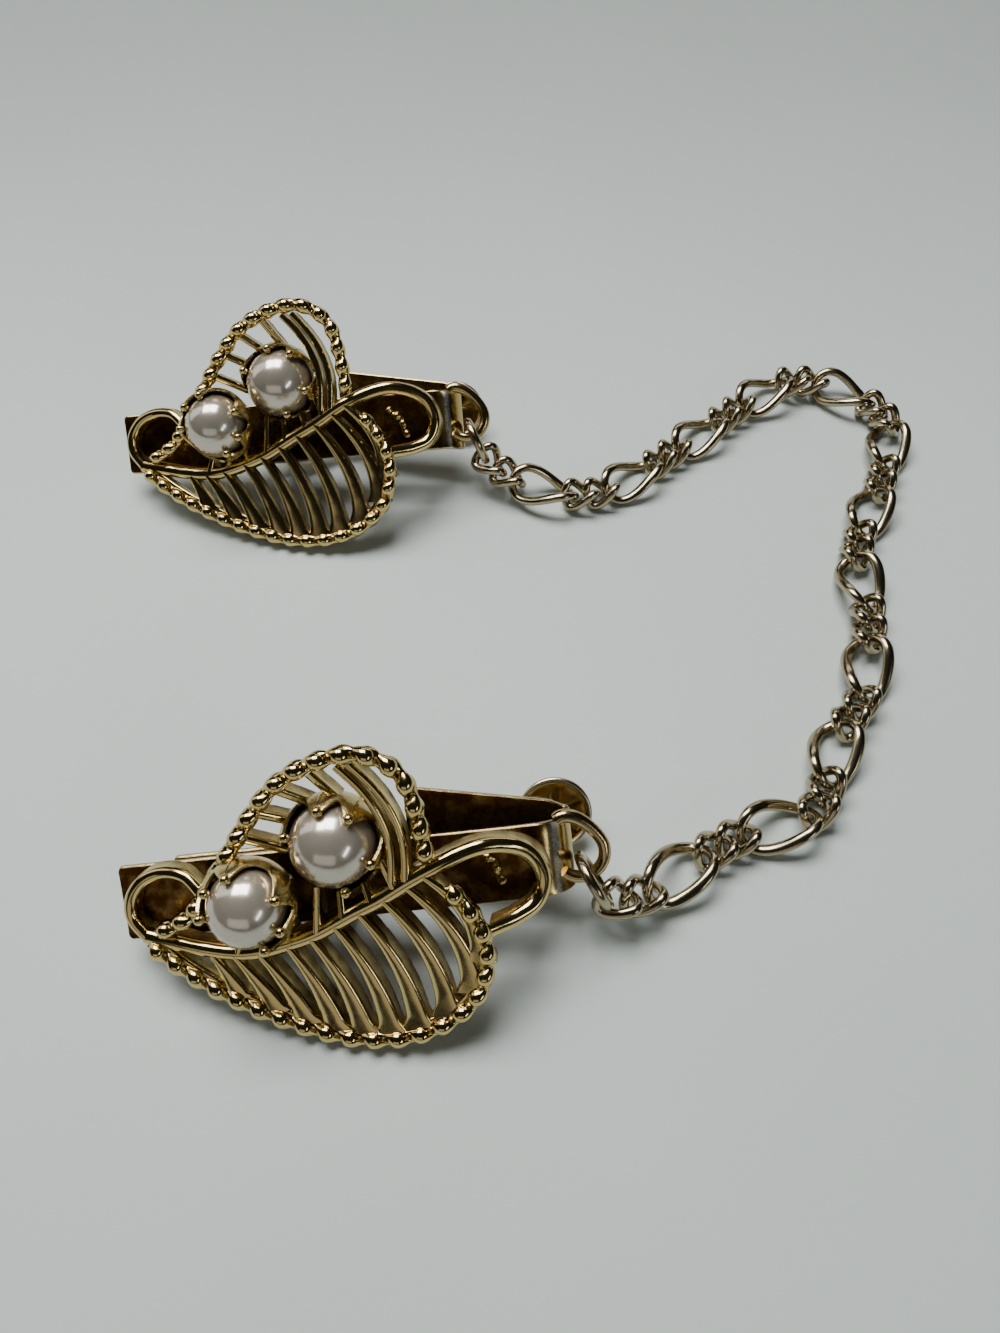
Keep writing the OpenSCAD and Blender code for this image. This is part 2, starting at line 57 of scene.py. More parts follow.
# Softboxes in metres: name, place, target, width, height, share of the window's light, colour
LIGHTS = (("window_left", (-0.245, 0.22, 0.52), (0, 0, 0), 0.2, 0.28, 0.5, (1, 1, 1)),
          ("window_right", (-0.035, 0.22, 0.52), (0, 0, 0), 0.2, 0.28, 0.5, (1, 1, 1)),
          ("left", (-0.6, 0.25, 0.3), (0, 0, 0), 0.5, 0.3, 0.12, (1, 1, 1)),
          ("right", (0.68, -0.66, 0.5), (0, 0, 0), 0.11, 0.45, 0.2, (0.92, 0.97, 1)),
          ("back", (0.15, 0.75, 0.3), (0, 0, 0), 0.7, 0.2, 0.14, (1, 1, 1)),
          ("front", (-0.27, -0.85, 0.33), (-0.27, 0, 0), 0.9, 0.4, 0.12, (1, 0.96, 0.9)))

# Sizes of the solids in millimetres, as the CAD source names them
LEAF_LEN, LEAF_WID, DOME_H, LOOP_DROP = 31.0, 24.0, 1.1, 2.8
ROPE_D, ROPE_PITCH = 1.65, 1.8
MIDRIB_W, RIB_W, RIB_FOOT_W, WALL_DEPTH = 1.25, 0.55, 1.4, 1.5
PEARL_BIG_D, PEARL_SMALL_D, PEARL_GAP = 6.5, 6.05, 0.08
CLAW_D, CLAW_BALL_D = 0.55, 0.75
STRIP_W, STRIP_LEN, SHEET_T, FOLD_R = 6.0, 34.0, 0.45, 2.9
SPRING_LEN, SPRING_ANGLE, SPRING_RISE = 12.5, 2.5, 2.4
PIVOT_X, PIVOT_Z, PIN_D, PIN_GAP = 16.5, -2.1, 1.0, 0.05
EAR_Y, EAR_T, EAR_R = 2.0, 0.4, 0.95
LEVER_EAR_Y = EAR_Y + EAR_T + 0.15
TAIL_Z, TAB_D, JAW_SHORT, JAW_GAP = -3.45, 6.2, 4.1, 0.1
WIRE_D, BIG_L, BIG_W, SMALL_L, SMALL_W = 0.88, 7.7, 4.9, 4.2, 3.5
RING_D, RING_WIRE = 5.2, 0.85
TAB_AT = np.array([STRIP_LEN, 1.5, -7.4])
LOOP_AT = np.array([STRIP_LEN + 1.5, 0.0, -1.05])
LOOP_R, LOOP_WIRE = 1.95, 0.9
RING_AT = LOOP_AT + [0.9, -2.4, 0.0]

# Outlines as shares [u, v] of the leaf's length and width, the tip at 0, 0
LOWER_EDGE = [[0.014, -0.035], [0.1, -0.135], [0.19, -0.218], [0.289, -0.292], [0.394, -0.354],
              [0.497, -0.399], [0.612, -0.413], [0.718, -0.384], [0.808, -0.303], [0.85, -0.176],
              [0.842, -0.05], [0.784, 0.083]]
UPPER_EDGE = [[0.045, 0], [0.13, 0.045], [0.185, 0.105], [0.235, 0.18], [0.3, 0.28],
              [0.362, 0.375], [0.442, 0.468], [0.54, 0.521], [0.645, 0.527], [0.725, 0.45],
              [0.748, 0.315], [0.75, 0.16]]
# Midrib with the stem loop, and the tip loop: shares [u, v, drop]
MIDRIB = [[0.005, -0.015, 0], [0.065, -0.035, 0], [0.148, -0.063, 0], [0.232, -0.083, 0],
          [0.297, -0.083, 0], [0.377, -0.063, 0], [0.458, -0.033, 0], [0.545, 0.017, 0],
          [0.632, 0.063, 0], [0.74, 0.13, 0], [0.852, 0.168, 0.3], [0.929, 0.15, 0.65],
          [0.98, 0.096, 0.92], [0.998, 0.012, 1], [0.975, -0.055, 0.85], [0.926, -0.083, 0.5],
          [0.868, -0.088, 0.05]]
TIP_LOOP = [[0.01, -0.015, 0], [-0.018, 0.05, 0], [-0.008, 0.117, 0.05], [0.032, 0.171, 0.12],
            [0.087, 0.192, 0.2], [0.145, 0.179, 0.15], [0.185, 0.13, 0]]
# Lower ribs: shares [top u, top v, foot u, foot v, bow u]
LOWER_RIBS = [[0.181, -0.085, 0.227, -0.239, 0.004], [0.237, -0.085, 0.318, -0.297, 0.006],
              [0.302, -0.083, 0.389, -0.342, 0.009], [0.377, -0.062, 0.457, -0.375, 0.013],
              [0.439, -0.042, 0.522, -0.391, 0.017], [0.503, -0.01, 0.589, -0.398, 0.022],
              [0.567, 0.025, 0.658, -0.389, 0.027], [0.629, 0.062, 0.733, -0.355, 0.033],
              [0.69, 0.095, 0.8, -0.284, 0.037], [0.735, 0.12, 0.833, -0.18, 0.036]]
# Ribs that run to a pearl's seat: shares [u, v] of their start and the angle round the pearl
UPPER_RIBS = [[0.333, 0.302, 184], [0.385, 0.375, 145], [0.443, 0.442, 110], [0.52, 0.488, 75]]
LARGE_SEAT_RIBS = [[0.458, -0.03, 240], [0.528, 0.01, 269], [0.602, 0.045, 301],
                   [0.665, 0.08, 341]]
SMALL_SEAT_RIBS = [[0.25, -0.08, 239], [0.32, -0.075, 274], [0.392, -0.055, 305]]
LONG_RIB = [[0.6, 0.5], [0.64, 0.43], [0.668, 0.36], [0.685, 0.28], [0.686, 0.2], [0.675, 0.115]]
SEAT_LOW, SEAT_HIGH = 0.8, 0.42
BIG_AT = np.array([0.532 * LEAF_LEN, 0.244 * LEAF_WID, -0.015 * PEARL_BIG_D])
SMALL_AT = np.array([0.3226 * LEAF_LEN, 0.106 * LEAF_WID, 0.34 * PEARL_SMALL_D])
# For each pearl: its place, its diameter and the turns of its claws in degrees
SETTINGS = {"large": (BIG_AT, PEARL_BIG_D, (49, 91, 152, 284, 339)),
            "small": (SMALL_AT, PEARL_SMALL_D, (20, 98, 136, 178, 294, 333))}
CLAW_POLAR = 60.0
# Feet under the leaf: place, height of the top and diameter
SOLDER_FEET = [(BIG_AT[0] - 1.5, BIG_AT[1] - 2.4, BIG_AT[2] - 0.3 * PEARL_BIG_D, 1.1),
               (BIG_AT[0] + 1.5, BIG_AT[1] - 2.4, BIG_AT[2] - 0.3 * PEARL_BIG_D, 1.1),
               (SMALL_AT[0] - 0.4, SMALL_AT[1] - 2.9, SMALL_AT[2] - 0.3 * PEARL_SMALL_D, 1.0),
               (-0.008 * LEAF_LEN, 0.11 * LEAF_WID, -0.6, 1.0)]
# A run of solder on the strip's front
SOLDER_RUN = [[27.4, 1.7, -0.2], [28.0, 0.9, -0.2], [28.9, 0.4, -0.2], [29.0, -0.7, -0.2],
              [29.6, -1.6, -0.2]]

# The chain's route on the table, from the far clip to the near
ROUTE = [[-3, 20.8, 2.65], [0.4, 19.2, 1.8], [5.9, 18.3, 1.4], [10.7, 20.3, 1.4],
         [15.2, 24.1, 1.4], [19.6, 27.7, 1.4], [24.2, 31.7, 1.6], [29, 35.1, 1.8],
         [33.8, 35.3, 1.6], [38, 32.9, 1.4], [40.2, 28.7, 1.4], [38.8, 23.9, 1.4],
         [36.9, 18.9, 1.4], [34.2, 13.9, 1.4], [32.6, 8.9, 1.6], [32.6, 3.5, 1.8],
         [31.6, -2.3, 1.6], [30.6, -6.1, 1.4], [27.8, -9.7, 1.4], [26.2, -11.7, 1.6],
         [25.6, -14.1, 1.6], [25, -16.7, 1.6], [23.4, -18.5, 1.4], [18.8, -19.5, 1.45],
         [14, -21.9, 1.6], [10.4, -24.7, 2.2], [7.6, -26.1, 2.9]]
LINKS = 38
BIG_TWIST, SMALL_TWIST = 42.0, 54.0

# For each metal slot: its material, its colour in the sidebar, its roughness buffed and as cast,
# how much sooner it tarnishes and how deep its scratches are
METALS = {"gilt_brass": ("gilt_brass_cast_and_buffed", "gold", 0.13, 0.4, 0.0, 0.02),
          "strip_brass": ("brass_sheet_pressed", "strip", 0.16, 0.34, 0.15, 0.12),
          "chain_brass": ("brass_wire_drawn_pale", "chain", 0.19, 0.32, 0.0, 0.02)}
# Each point's finish, and its usual value: polish (1 buffed, 0 as cast), hollow (1 deep in a
# recess or between parts: brown tarnish there, which also paints the shade that falls there) and
# wear (1 plating rubbed through; on the strip's bend and the sheet edges it is also a painted
# highlight)
FINISH = {"polish": 1.0, "hollow": 0.0, "wear": 0.0}
# A Mix node takes its two colours at inputs 6 and 7 and gives the mixed one at output 2
MIX = {"out": 2, "data_type": "RGBA"}
UP = np.array([0.0, 0.0, 1.0])


def turned(degrees):
    """The matrix that turns about X, then Y, then Z."""
    (cx, cy, cz), (sx, sy, sz) = cos(radians(degrees)), sin(radians(degrees))
    about_x = np.array([[1, 0, 0], [0, cx, -sx], [0, sx, cx]])
    about_y = np.array([[cy, 0, sy], [0, 1, 0], [-sy, 0, cy]])
    about_z = np.array([[cz, -sz, 0], [sz, cz, 0], [0, 0, 1]])
    return about_z @ about_y @ about_x


# Frames (place, turn): each clip's leaf on the table, and the mechanism on its leaf, drawn with x
# along the strip, y across it and z to the front
CLIPS = {"near": (np.array([-30.2, -29.5, 4.42]), turned([47.9, -10.7, 1.3])),
         "far": (np.array([-40.1, 20.0, 4.42]), turned([47.9, -10.7, -1.1]))}
TILT_X, TILT_Y = -6, 6.6
MECHANISM = (np.array([-1.6, 1.9, -1.5]), turned([TILT_X, TILT_Y, -2.6]))
RING_SWING = {"near": 26.0, "far": 21.0}
HOLD_ANGLE = {"near": -88.0, "far": -81.0}


def placed(points, frame_of):
    """Points of a frame (place, turn) in the frame that holds it: turned, then moved."""
    return frame_of[0] + np.asarray(points, float) @ frame_of[1].T


def unit(vectors):
    """Each vector divided by its own length."""
    return vectors / np.maximum(np.linalg.norm(vectors, axis=-1, keepdims=True), 1e-12)


def eased(x, low, high):
    """0 below low, 1 above high, and 3 t^2 - 2 t^3 between them."""
    t = np.clip((np.asarray(x, float) - low) / (high - low), 0, 1)
    return t * t * (3 - 2 * t)


def angles(count):
    """This many angles evenly round a full turn."""
    return np.linspace(0, 2 * pi, count, endpoint=False)


def squared(wave, power):
    """A sine or cosine raised to a power with its sign kept: below 1 it makes a circle squarer."""
    return np.sign(wave) * np.abs(wave) ** power


def ripple(points, size, seed):
    """A smooth unevenness from -1 to 1: products and sums of sines of the three coordinates, whose
    waves, about size millimetres long, don't repeat together."""
    x, y, z = np.moveaxis(points * (2 * pi / size) + seed, -1, 0)
    return (sin(x + 0.7 * sin(y * 0.61)) * cos(y * 0.83 + 1.3 * sin(z * 0.47))
            + 0.6 * sin(z * 1.31 + x * 0.37 + 2.1)) / 1.6


def curve_through(points, per_span):
    """A curve of cubics: at each point the slope is half the chord between its neighbours."""
    p = np.asarray(points, float)
    q = np.vstack([p[:1], p, p[-1:]])
    a, b, c, d = q[:-3, None], q[1:-2, None], q[2:-1, None], q[3:, None]
    t = (np.arange(per_span) / per_span)[None, :, None]
    spans = 0.5 * (2 * b + (c - a) * t + (2 * a - 5 * b + 4 * c - d) * t ** 2
                   + (3 * b - a - 3 * c + d) * t ** 3)
    return np.vstack([spans.reshape(-1, p.shape[1]), p[-1:]])


def run_of(path):
    """Length of the path up to each of its points."""
    return np.hstack([[0], np.cumsum(np.linalg.norm(np.diff(path, axis=0), axis=1))])


def at_lengths(path, lengths):
    """The path's points at these lengths along it, by straight steps."""
    run = run_of(path)
    return np.stack([np.interp(lengths, run, column) for column in path.T], 1)


def evenly(path, count):
    """count + 1 points at equal lengths along the path."""
    return at_lengths(path, np.linspace(0, run_of(path)[-1], count + 1))


def softened(path, width):
    """The path with corners eased: each point is a mean over width neighbours, the ends stay."""
    padded = np.vstack([2 * path[:1] - path[width:0:-1], path,
                        2 * path[-1:] - path[-2:-width - 2:-1]])
    kernel = np.hanning(2 * width + 3)[1:-1]
    return np.stack([np.convolve(c, kernel / kernel.sum(), "valid") for c in padded.T], 1)


def headings(path):
    """Direction of the path at each point, from the one before to the one after."""
    return unit(np.gradient(path, axis=0))


def sideways(h):
    """The level direction to the left of each heading."""
    return unit(np.cross(UP, h))


def dome(u):
    """Height of the leaf's face at length u: a parabola, highest near the middle."""
    return DOME_H * (0.9 - ((u - LEAF_LEN * 0.47) / (LEAF_LEN * 0.47)) ** 2)


def on_leaf(shares):
    """Leaf points in millimetres from shares [u, v] or [u, v, drop], laid on the dome."""
    s = np.asarray(shares, float)
    height = dome(np.minimum(s[:, 0], 0.8) * LEAF_LEN)
    if s.shape[1] > 2:
        height = height - s[:, 2] * LOOP_DROP
    return np.stack([s[:, 0] * LEAF_LEN, s[:, 1] * LEAF_WID, height], 1)


def skinned(grid, closed=False, poles=None, **finish):
    """A form, the skin over a grid of n rings of m points: points in millimetres, faces of four and
    of three, and each point's finish. A point is joined to the next in its ring and in the next
    ring. A closed grid joins its last ring to its first; else each end is a fan to its pole, by
    default the middle of its ring. Where the solid's volume, the sum of a . (b x c) over its
    triangles, is negative, every face is turned round to point outwards."""
    n, m = grid.shape[:2]
    index = np.arange(n * m).reshape(n, m)
    rows, after = (index, np.roll(index, -1, 0)) if closed else (index[:-1], index[1:])
    quads = np.stack([rows, np.roll(rows, -1, 1), np.roll(after, -1, 1), after], -1).reshape(-1, 4)
    points, triangles = grid.reshape(-1, 3), np.zeros((0, 3), int)
    if not closed:
        points = np.vstack([points, *(poles if poles is not None else grid[[0, -1]].mean(1))])
        first, last, pole = index[0], index[-1], np.full(m, n * m)
        triangles = np.hstack([[pole, np.roll(first, -1), first],
                               [pole + 1, last, np.roll(last, -1)]]).T
    a, b, c = np.moveaxis(points[np.vstack([quads[:, :3], quads[:, [0, 2, 3]], triangles])]
                          - points.mean(0), 1, 0)
    if np.einsum("ij,ij->", a, np.cross(b, c)) < 0:
        quads, triangles = quads[:, ::-1], triangles[:, ::-1]
    form = {"points": points, "quads": quads, "triangles": triangles}
    for kind, usual in FINISH.items():
        value = np.broadcast_to(finish.get(kind, usual), (n, m))
        form[kind] = np.append(value.ravel(), [] if closed else value[[0, -1]].mean(1))
    return form


def tube(path, radius, sides, up=UP, **finish):
    """A round tube: circles of one radius, or one for each point, square to the path. up is the
    direction that starts each circle."""
    h = headings(path)
    s = unit(np.cross(np.broadcast_to(up, path.shape), h))
    w = np.cross(h, s)
    a = angles(sides)[:, None]
    r = np.broadcast_to(radius, len(path))[:, None, None]
    return skinned(path[:, None] + r * (s[:, None] * cos(a) + w[:, None] * sin(a)), **finish)


def rounded_ends(count, radius, length, share=1.0):
    """Radii along a wire whose two ends are half balls: near an end the radius is the root of
    r^2 - (r - distance to the end)^2."""
    d = np.linspace(0, length, count)
    reach = np.maximum(1 - np.minimum(d, length - d) / (radius * share), 0)
    return np.maximum(radius * np.sqrt(1 - reach ** 2), radius * 0.04)


def revolved(profile, centre, sides, turn=np.eye(3), **finish):
    """A form turned about Z: profile (radius, height) from pole to pole, where the radius is 0."""
    a = angles(sides)
    r, z = profile[1:-1, :1], profile[1:-1, 1:]
    grid = np.stack([r * cos(a), r * sin(a), z + 0 * a], -1)
    poles = UP * profile[[0, -1], 1:]
    return skinned(grid @ turn.T + centre, poles=poles @ turn.T + centre, **finish)


def wall(path, width, depth, crown, flat=0.8, seed=0.0):
    """A cast wall with a buffed top, carried along path. Its top is crown high, a cosine to the
    power flat by a sine to the power flat + 0.1: nearly half an ellipse at 1 and squarer below.
    The sides go down by depth, draw in a little and are uneven, as cast."""
    s = sideways(headings(path))
    half = np.broadcast_to(width, len(path))[:, None] / 2
    crown = np.broadcast_to(crown, len(path))[:, None]
    t = np.linspace(0, pi, 13)
    down = np.array([0.25, 0.5, 0.75, 0.94, 1.0])
    draw = np.array([0.99, 0.97, 0.95, 0.93, 0.7728])
    x = np.hstack([squared(cos(t), flat), -draw, draw[::-1]])
    share = np.hstack([0 * t, down, down[::-1]])
    rise = np.append(sin(t) ** (flat + 0.1), np.zeros(10))
    z = rise * crown - (crown - 0.2) - share * (depth - 0.1)
    grid = path[:, None] + s[:, None] * (half * x)[..., None] + UP * z[..., None]
    rough = 0.035 * share * ripple(grid, 1.1, seed) + 0.02 * share * ripple(grid, 0.5, seed + 3)
    grid = grid + s[:, None] * (rough * np.sign(x))[..., None]
    polish = np.hstack([np.ones(13), [0.35, 0.1, 0, 0, 0, 0, 0, 0, 0.1, 0.35]])
    # The sides get tarnish and painted shade, more deeper down; the top is buffed
    return skinned(grid, polish=polish, hollow=np.where(share > 0, 0.35 + 0.65 * share, 0))


def make_piece(name, forms, slot, body, node):
    """One object from its forms, their points and faces one after another in metres, smooth but
    for folds over 40 degrees. It rides on its body and stands for a CAD node. Returns what an
    operator does."""
    points = np.vstack([f["points"] for f in forms]) * MM
    starts = np.cumsum([0] + [len(f["points"]) for f in forms[:-1]])
    quads, triangles = (np.vstack([f[kind] + start for f, start in zip(forms, starts)])
                        for kind in ("quads", "triangles"))
    corners = np.append(quads, triangles)
    sizes = np.repeat([4, 3], [len(quads), len(triangles)])
    mesh = bpy.data.meshes.new(name)
    mesh.vertices.add(len(points))
    mesh.vertices.foreach_set("co", points.ravel())
    mesh.loops.add(len(corners))
    mesh.loops.foreach_set("vertex_index", corners)
    mesh.polygons.add(len(sizes))
    mesh.polygons.foreach_set("loop_start", np.cumsum(sizes) - sizes)
    mesh.polygons.foreach_set("loop_total", sizes)
    mesh.polygons.foreach_set("use_smooth", np.ones(len(sizes), bool))
    for kind in FINISH:
        layer = mesh.attributes.new(kind, "FLOAT", "POINT")
        layer.data.foreach_set("value", np.hstack([f[kind] for f in forms]))
    mesh.update(calc_edges=True)
    if mesh.validate():
        raise RuntimeError("mesh of " + name + " was not valid")
    mesh.set_sharp_from_angle(angle=radians(40))
    mesh.materials.append(material_for(slot))
    piece = bpy.data.objects.new(name, mesh)
    bpy.context.scene.collection.objects.link(piece)
    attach(piece, body)
    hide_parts(node)
    return {"FINISHED"}


def linear(hex_colour):
    """An sRGB hex colour as linear RGB."""
    c = np.array([int(hex_colour[i:i + 2], 16) for i in (1, 3, 5)]) / 255
    return tuple(np.where(c <= 0.04045, c / 12.92, ((c + 0.055) / 1.055) ** 2.4))


def add_node(tree, kind, *values, at=None, out=0, **named):
    """Adds a node and returns its output out. Values, which may be outputs to link, go to its
    inputs in order, those in at by number. A name with a capital is an input, else a setting."""
    node = tree.nodes.new("ShaderNode" + kind)
    inputs = {**dict(enumerate(values)), **(at or {})}
    for key, value in named.items():
        if key[0].islower():
            setattr(node, key, value)
        else:
            inputs[key.replace("_", " ")] = value
    for key, value in inputs.items():
        if isinstance(value, bpy.types.NodeSocket):
            tree.links.new(value, node.inputs[key])
        else:
            node.inputs[key].default_value = value
    return node.outputs[out] if node.outputs else None


def new_material(name):
    """An empty material, the function that adds a node to it, and the object's coordinates."""
    material = bpy.data.materials.new(name)
    material.use_nodes = True
    material.node_tree.nodes.clear()
    node = partial(add_node, material.node_tree)
    return material, node, node("TexCoord", out="Object")


def brass_material(name, metal, rough_bright, rough_dull, sooner, scratches):
    """Brass under thin gold, buffed on its faces: a sharp, slightly wavy mirror. Recesses and
    walls as cast keep a grainy, darker skin with brown tarnish, which also stands in as painted
    shade where shade falls in recesses and between parts, and where the gold is rubbed through the
    metal is paler and scratched, which on the strip's bend and the sheet edges is also a painted
    highlight."""
    colours = bpy.context.scene.clip_finish
    material, node, where = new_material(name)
    polish, hollow, wear = (node("Attribute", out="Fac", attribute_name=kind) for kind in FINISH)
    # Tarnish in patches about 1.5 mm across, grain as cast about 0.12 mm, slow waves of hand
    # buffing about 2 mm long, and fine scratches drawn out along the strip
    stretch = node("Mapping", where, Scale=(400.0, 9000.0, 9000.0))
    patches, grain, waves, lines = (
        node("TexNoise", at, Scale=scale, Detail=detail, Roughness=roughness)
        for at, scale, detail, roughness in ((where, 700.0, 4.0, 0.6), (where, 5200.0, 3.0, 0.55),
                                             (where, 420.0, 1.0, 0.4), (stretch, 1.0, 3.0, 0.7)))
    # Tarnish and painted shade: brown follows the hollow finish and is raised in patches
    brown = node("Math", patches, 1.6, hollow, operation="MULTIPLY_ADD")
    brown = node("MapRange", brown, 1.15 - sooner, 2.05 - sooner)
    gold, tarnish, worn = ((*getattr(colours, key), 1) for key in (metal, "tarnish", "worn"))
    base = node("Mix", brown, at={6: gold, 7: tarnish}, **MIX)
    # Worn metal, paler where the scratches run; on the bend and the sheet edges this is also a
    # painted highlight
    paler = node("Math", wear, lines, operation="MULTIPLY")
    paler = node("MapRange", paler, 0.1, 0.5)
    colour = node("Mix", paler, at={6: base, 7: worn}, **MIX)
    # Rougher as cast, where brown, in patches and where worn
    rough = node("MapRange", polish, 1.0, 0.0, rough_bright, rough_dull)
    rough = node("Math", brown, 0.12, rough, operation="MULTIPLY_ADD")
    spread = node("Math", patches, 0.12, -0.05, operation="MULTIPLY_ADD")
    rough = node("Math", rough, spread, operation="ADD")
    rough = node("Math", paler, 0.12, rough, operation="MULTIPLY_ADD")
    unpolished = node("Math", 1.02, polish, operation="SUBTRACT")
    cast = node("Bump", Height=grain, Strength=unpolished, Distance=0.00006)
    buffed = node("Bump", Height=waves, Strength=0.35, Distance=0.00012, Normal=cast)
    scratched = node("Bump", Height=lines, Strength=scratches, Distance=0.00003, Normal=buffed)
    shader = node("BsdfPrincipled", Base_Color=colour, Metallic=1.0, Roughness=rough,
                  Normal=scratched)
    node("OutputMaterial", Surface=shader)
    return material


def pearl_material(name):
    """Imitation pearl: glass or plastic dipped in fish-scale lacquer. The eye sees a milky body,
    a rosy overtone at the rim, and a sharp clear lacquer over a soft silky glow."""
    colours = bpy.context.scene.clip_finish
    material, node, where = new_material(name)
    # The lacquer's unevenness is about 1.2 mm across, its silk about 0.1 mm
    cloud = node("TexNoise", where, Scale=830.0, Detail=3.0, Roughness=0.5)
    silk = node("TexNoise", where, Scale=9000.0, Detail=2.0)
    facing = node("LayerWeight", out="Facing", Blend=0.42)
    blush = node("Math", cloud, 0.35, facing, operation="MULTIPLY_ADD")
    blush = node("MapRange", blush, 0.2, 1.0)
    colour = node("Mix", blush, at={6: (*colours.pearl, 1), 7: (*colours.pearl_rim, 1)}, **MIX)
    rough = node("MapRange", cloud, 0.3, 0.7, 0.2, 0.26)
    bump = node("Bump", Height=silk, Strength=0.03, Distance=0.00002)
    shader = node("BsdfPrincipled", Base_Color=colour, Metallic=colours.lustre, Roughness=rough,
                  Normal=bump, IOR=1.56, Coat_Weight=1.0, Coat_Roughness=0.05, Coat_IOR=2.1,
                  Subsurface_Weight=0.15, Subsurface_Radius=(0.001, 0.0007, 0.0006),
                  Subsurface_Scale=1.0)
    node("OutputMaterial", Surface=shader)
    return material


def floor_material(name, colour):
    """Satin laminate table top: pale and faintly cloudy, with painted shade that darkens it further
    back.
    """
    material, node, where = new_material(name)
    cloud = node("TexNoise", where, Scale=25.0, Detail=4.0)
    shade = node("MapRange", cloud, 0.3, 0.7, 0.96, 1.0)
    # Painted shade: the light's falloff away from the window, darker with Y further back
    depth = node("SeparateXYZ", where, out="Y")
    far = node("MapRange", depth, 0.0, 0.14, 1.0, 0.55, interpolation_type="SMOOTHSTEP")
    shade = node("Math", shade, far, operation="MULTIPLY")
    tone = node("VectorMath", tuple(colour), Scale=shade, operation="SCALE")
    shader = node("BsdfPrincipled", Base_Color=tone, Roughness=0.55)
    node("OutputMaterial", Surface=shader)
    return material


def material_for(slot):
    """The material of a slot, made from the sidebar's colours when first asked for."""
    name, *look = METALS.get(slot, ("imitation_pearl_dipped",))
    if name in bpy.data.materials:
        return bpy.data.materials[name]
    return brass_material(name, *look) if look else pearl_material(name)


def rope_strands(path, bead, waist):
    """Two strands twisted round each other, cast as beads: each strand's middle goes round the path
    on a flat ellipse, half a turn a bead, and its radius swells from waist to bead by a power of
    the sine of its turn, so it is fat in front and behind and thin at the edge. Its ends are half
    balls, and its inner side is a recess."""
    total = run_of(path)[-1]
    beads = round(total / ROPE_PITCH)
    count = beads * 18
    q = evenly(path, count)
    s = sideways(headings(q))
    w = np.cross(headings(q), s)
    # The strands' inner side gets tarnish and painted shade
    hollow = np.clip(1.5 * (0.5 - 0.5 * sin(angles(18))) - 0.45, 0, 1)
    forms = []
    for phase in (0.0, pi):
        turn = (np.linspace(0, beads * pi, count + 1) + phase)[:, None]
        centre = q + s * cos(turn) * 0.24 + w * sin(turn) * (ROPE_D / 2 - bead)
        swell = waist + (bead - waist) * np.abs(sin(turn[:, 0])) ** 1.4
        forms.append(tube(centre, swell * rounded_ends(count + 1, 1.0, total, 1.1), 18,
                          up=s * cos(turn) + w * sin(turn), hollow=hollow))
    return forms


def leaf_ribs():
    """All the ribs. A lower one runs from midrib to rope, straight but for a bow of 4 t (1 - t),
    and widens to a flat foot; the upper ones and those under the pearls run straight to a seat,
    and the long rib is two walls side by side."""
    forms = []
    for k, (top_u, top_v, foot_u, foot_v, bow) in enumerate(LOWER_RIBS):
        a, b = on_leaf([[top_u, top_v], [foot_u, foot_v]])
        t = np.linspace(0, 1, 26)
        u = a[0] + (b[0] - a[0]) * t + 4 * t * (1 - t) * bow * LEAF_LEN
        path = np.stack([u, a[1] + (b[1] - a[1]) * t, dome(np.minimum(u, LEAF_LEN * 0.8))], 1)
        width = RIB_W + (RIB_FOOT_W + 0.3 - RIB_W) * t ** 1.1 + 0.75 * eased(t, 0.83, 1.0) ** 2
        forms.append(wall(path, width, WALL_DEPTH, 0.32 - 0.18 * t, seed=k * 1.7))
    # Ribs, pearl, how far out and up of the seat's rim they end, width and depth
    for ribs, pearl, out, up, width, depth in (
            (UPPER_RIBS, "large", 0.25, WALL_DEPTH - 0.15, 0.7, WALL_DEPTH),
            (LARGE_SEAT_RIBS, "large", 0.25, WALL_DEPTH + 0.45, 0.6, WALL_DEPTH + 0.6),
            (SMALL_SEAT_RIBS, "small", 0.02, -0.35, 0.6, WALL_DEPTH + 0.6)):
        centre, r = SETTINGS[pearl][0], SETTINGS[pearl][1] / 2
        for k, (u, v, degrees) in enumerate(ribs):
            a = radians(degrees)
            end = centre + [(r + out) * cos(a), (r + out) * sin(a), up - r * SEAT_HIGH]
            path = evenly(np.vstack([on_leaf([[u, v]]), end]), 10)
            forms.append(wall(path, width, depth, 0.26, seed=k + 20 + width))
    for k, off in enumerate((-0.5, 0.5)):
        path = curve_through(on_leaf(LONG_RIB), 6) + [off, 0, 0]
        forms.append(wall(path, 0.62, WALL_DEPTH, 0.28, seed=k + 40))
    return forms


def leaf_midrib():
    """The midrib with its stem loop, and the tip loop: half-round tops over cast walls."""
    main = evenly(curve_through(on_leaf(MIDRIB), 10), 170)
    loop = evenly(curve_through(on_leaf(TIP_LOOP), 8), 60)
    return [wall(main, MIDRIB_W, WALL_DEPTH, 0.56, 0.98, seed=5.0),
            wall(loop, MIDRIB_W * 0.8, WALL_DEPTH * 0.85, 0.46, 0.98, seed=8.0)]


def solder_foot(u, v, top, d):
    """A solder foot down to the strip's front, the mechanism's plane: a round post that is
    thickest at its two ends by a cosine."""
    at, tilt_x, tilt_y = MECHANISM[0], radians(TILT_X), radians(TILT_Y)
    front = at[2] - (sin(tilt_y) * (u - at[0]) - sin(tilt_x) * (v - at[1])) / cos(tilt_y)
    z = np.linspace(front + 0.06 + d * 0.12, top, 12)
    radius = d / 2 * (0.86 + 0.14 * cos(np.linspace(0, 2 * pi, 12)))
    # hollow: tarnish and painted shade under the leaf
    return tube(np.stack([0 * z + u, 0 * z + v, z], 1), radius, 16, up=[1.0, 0, 0], polish=0.2,
                hollow=0.7)


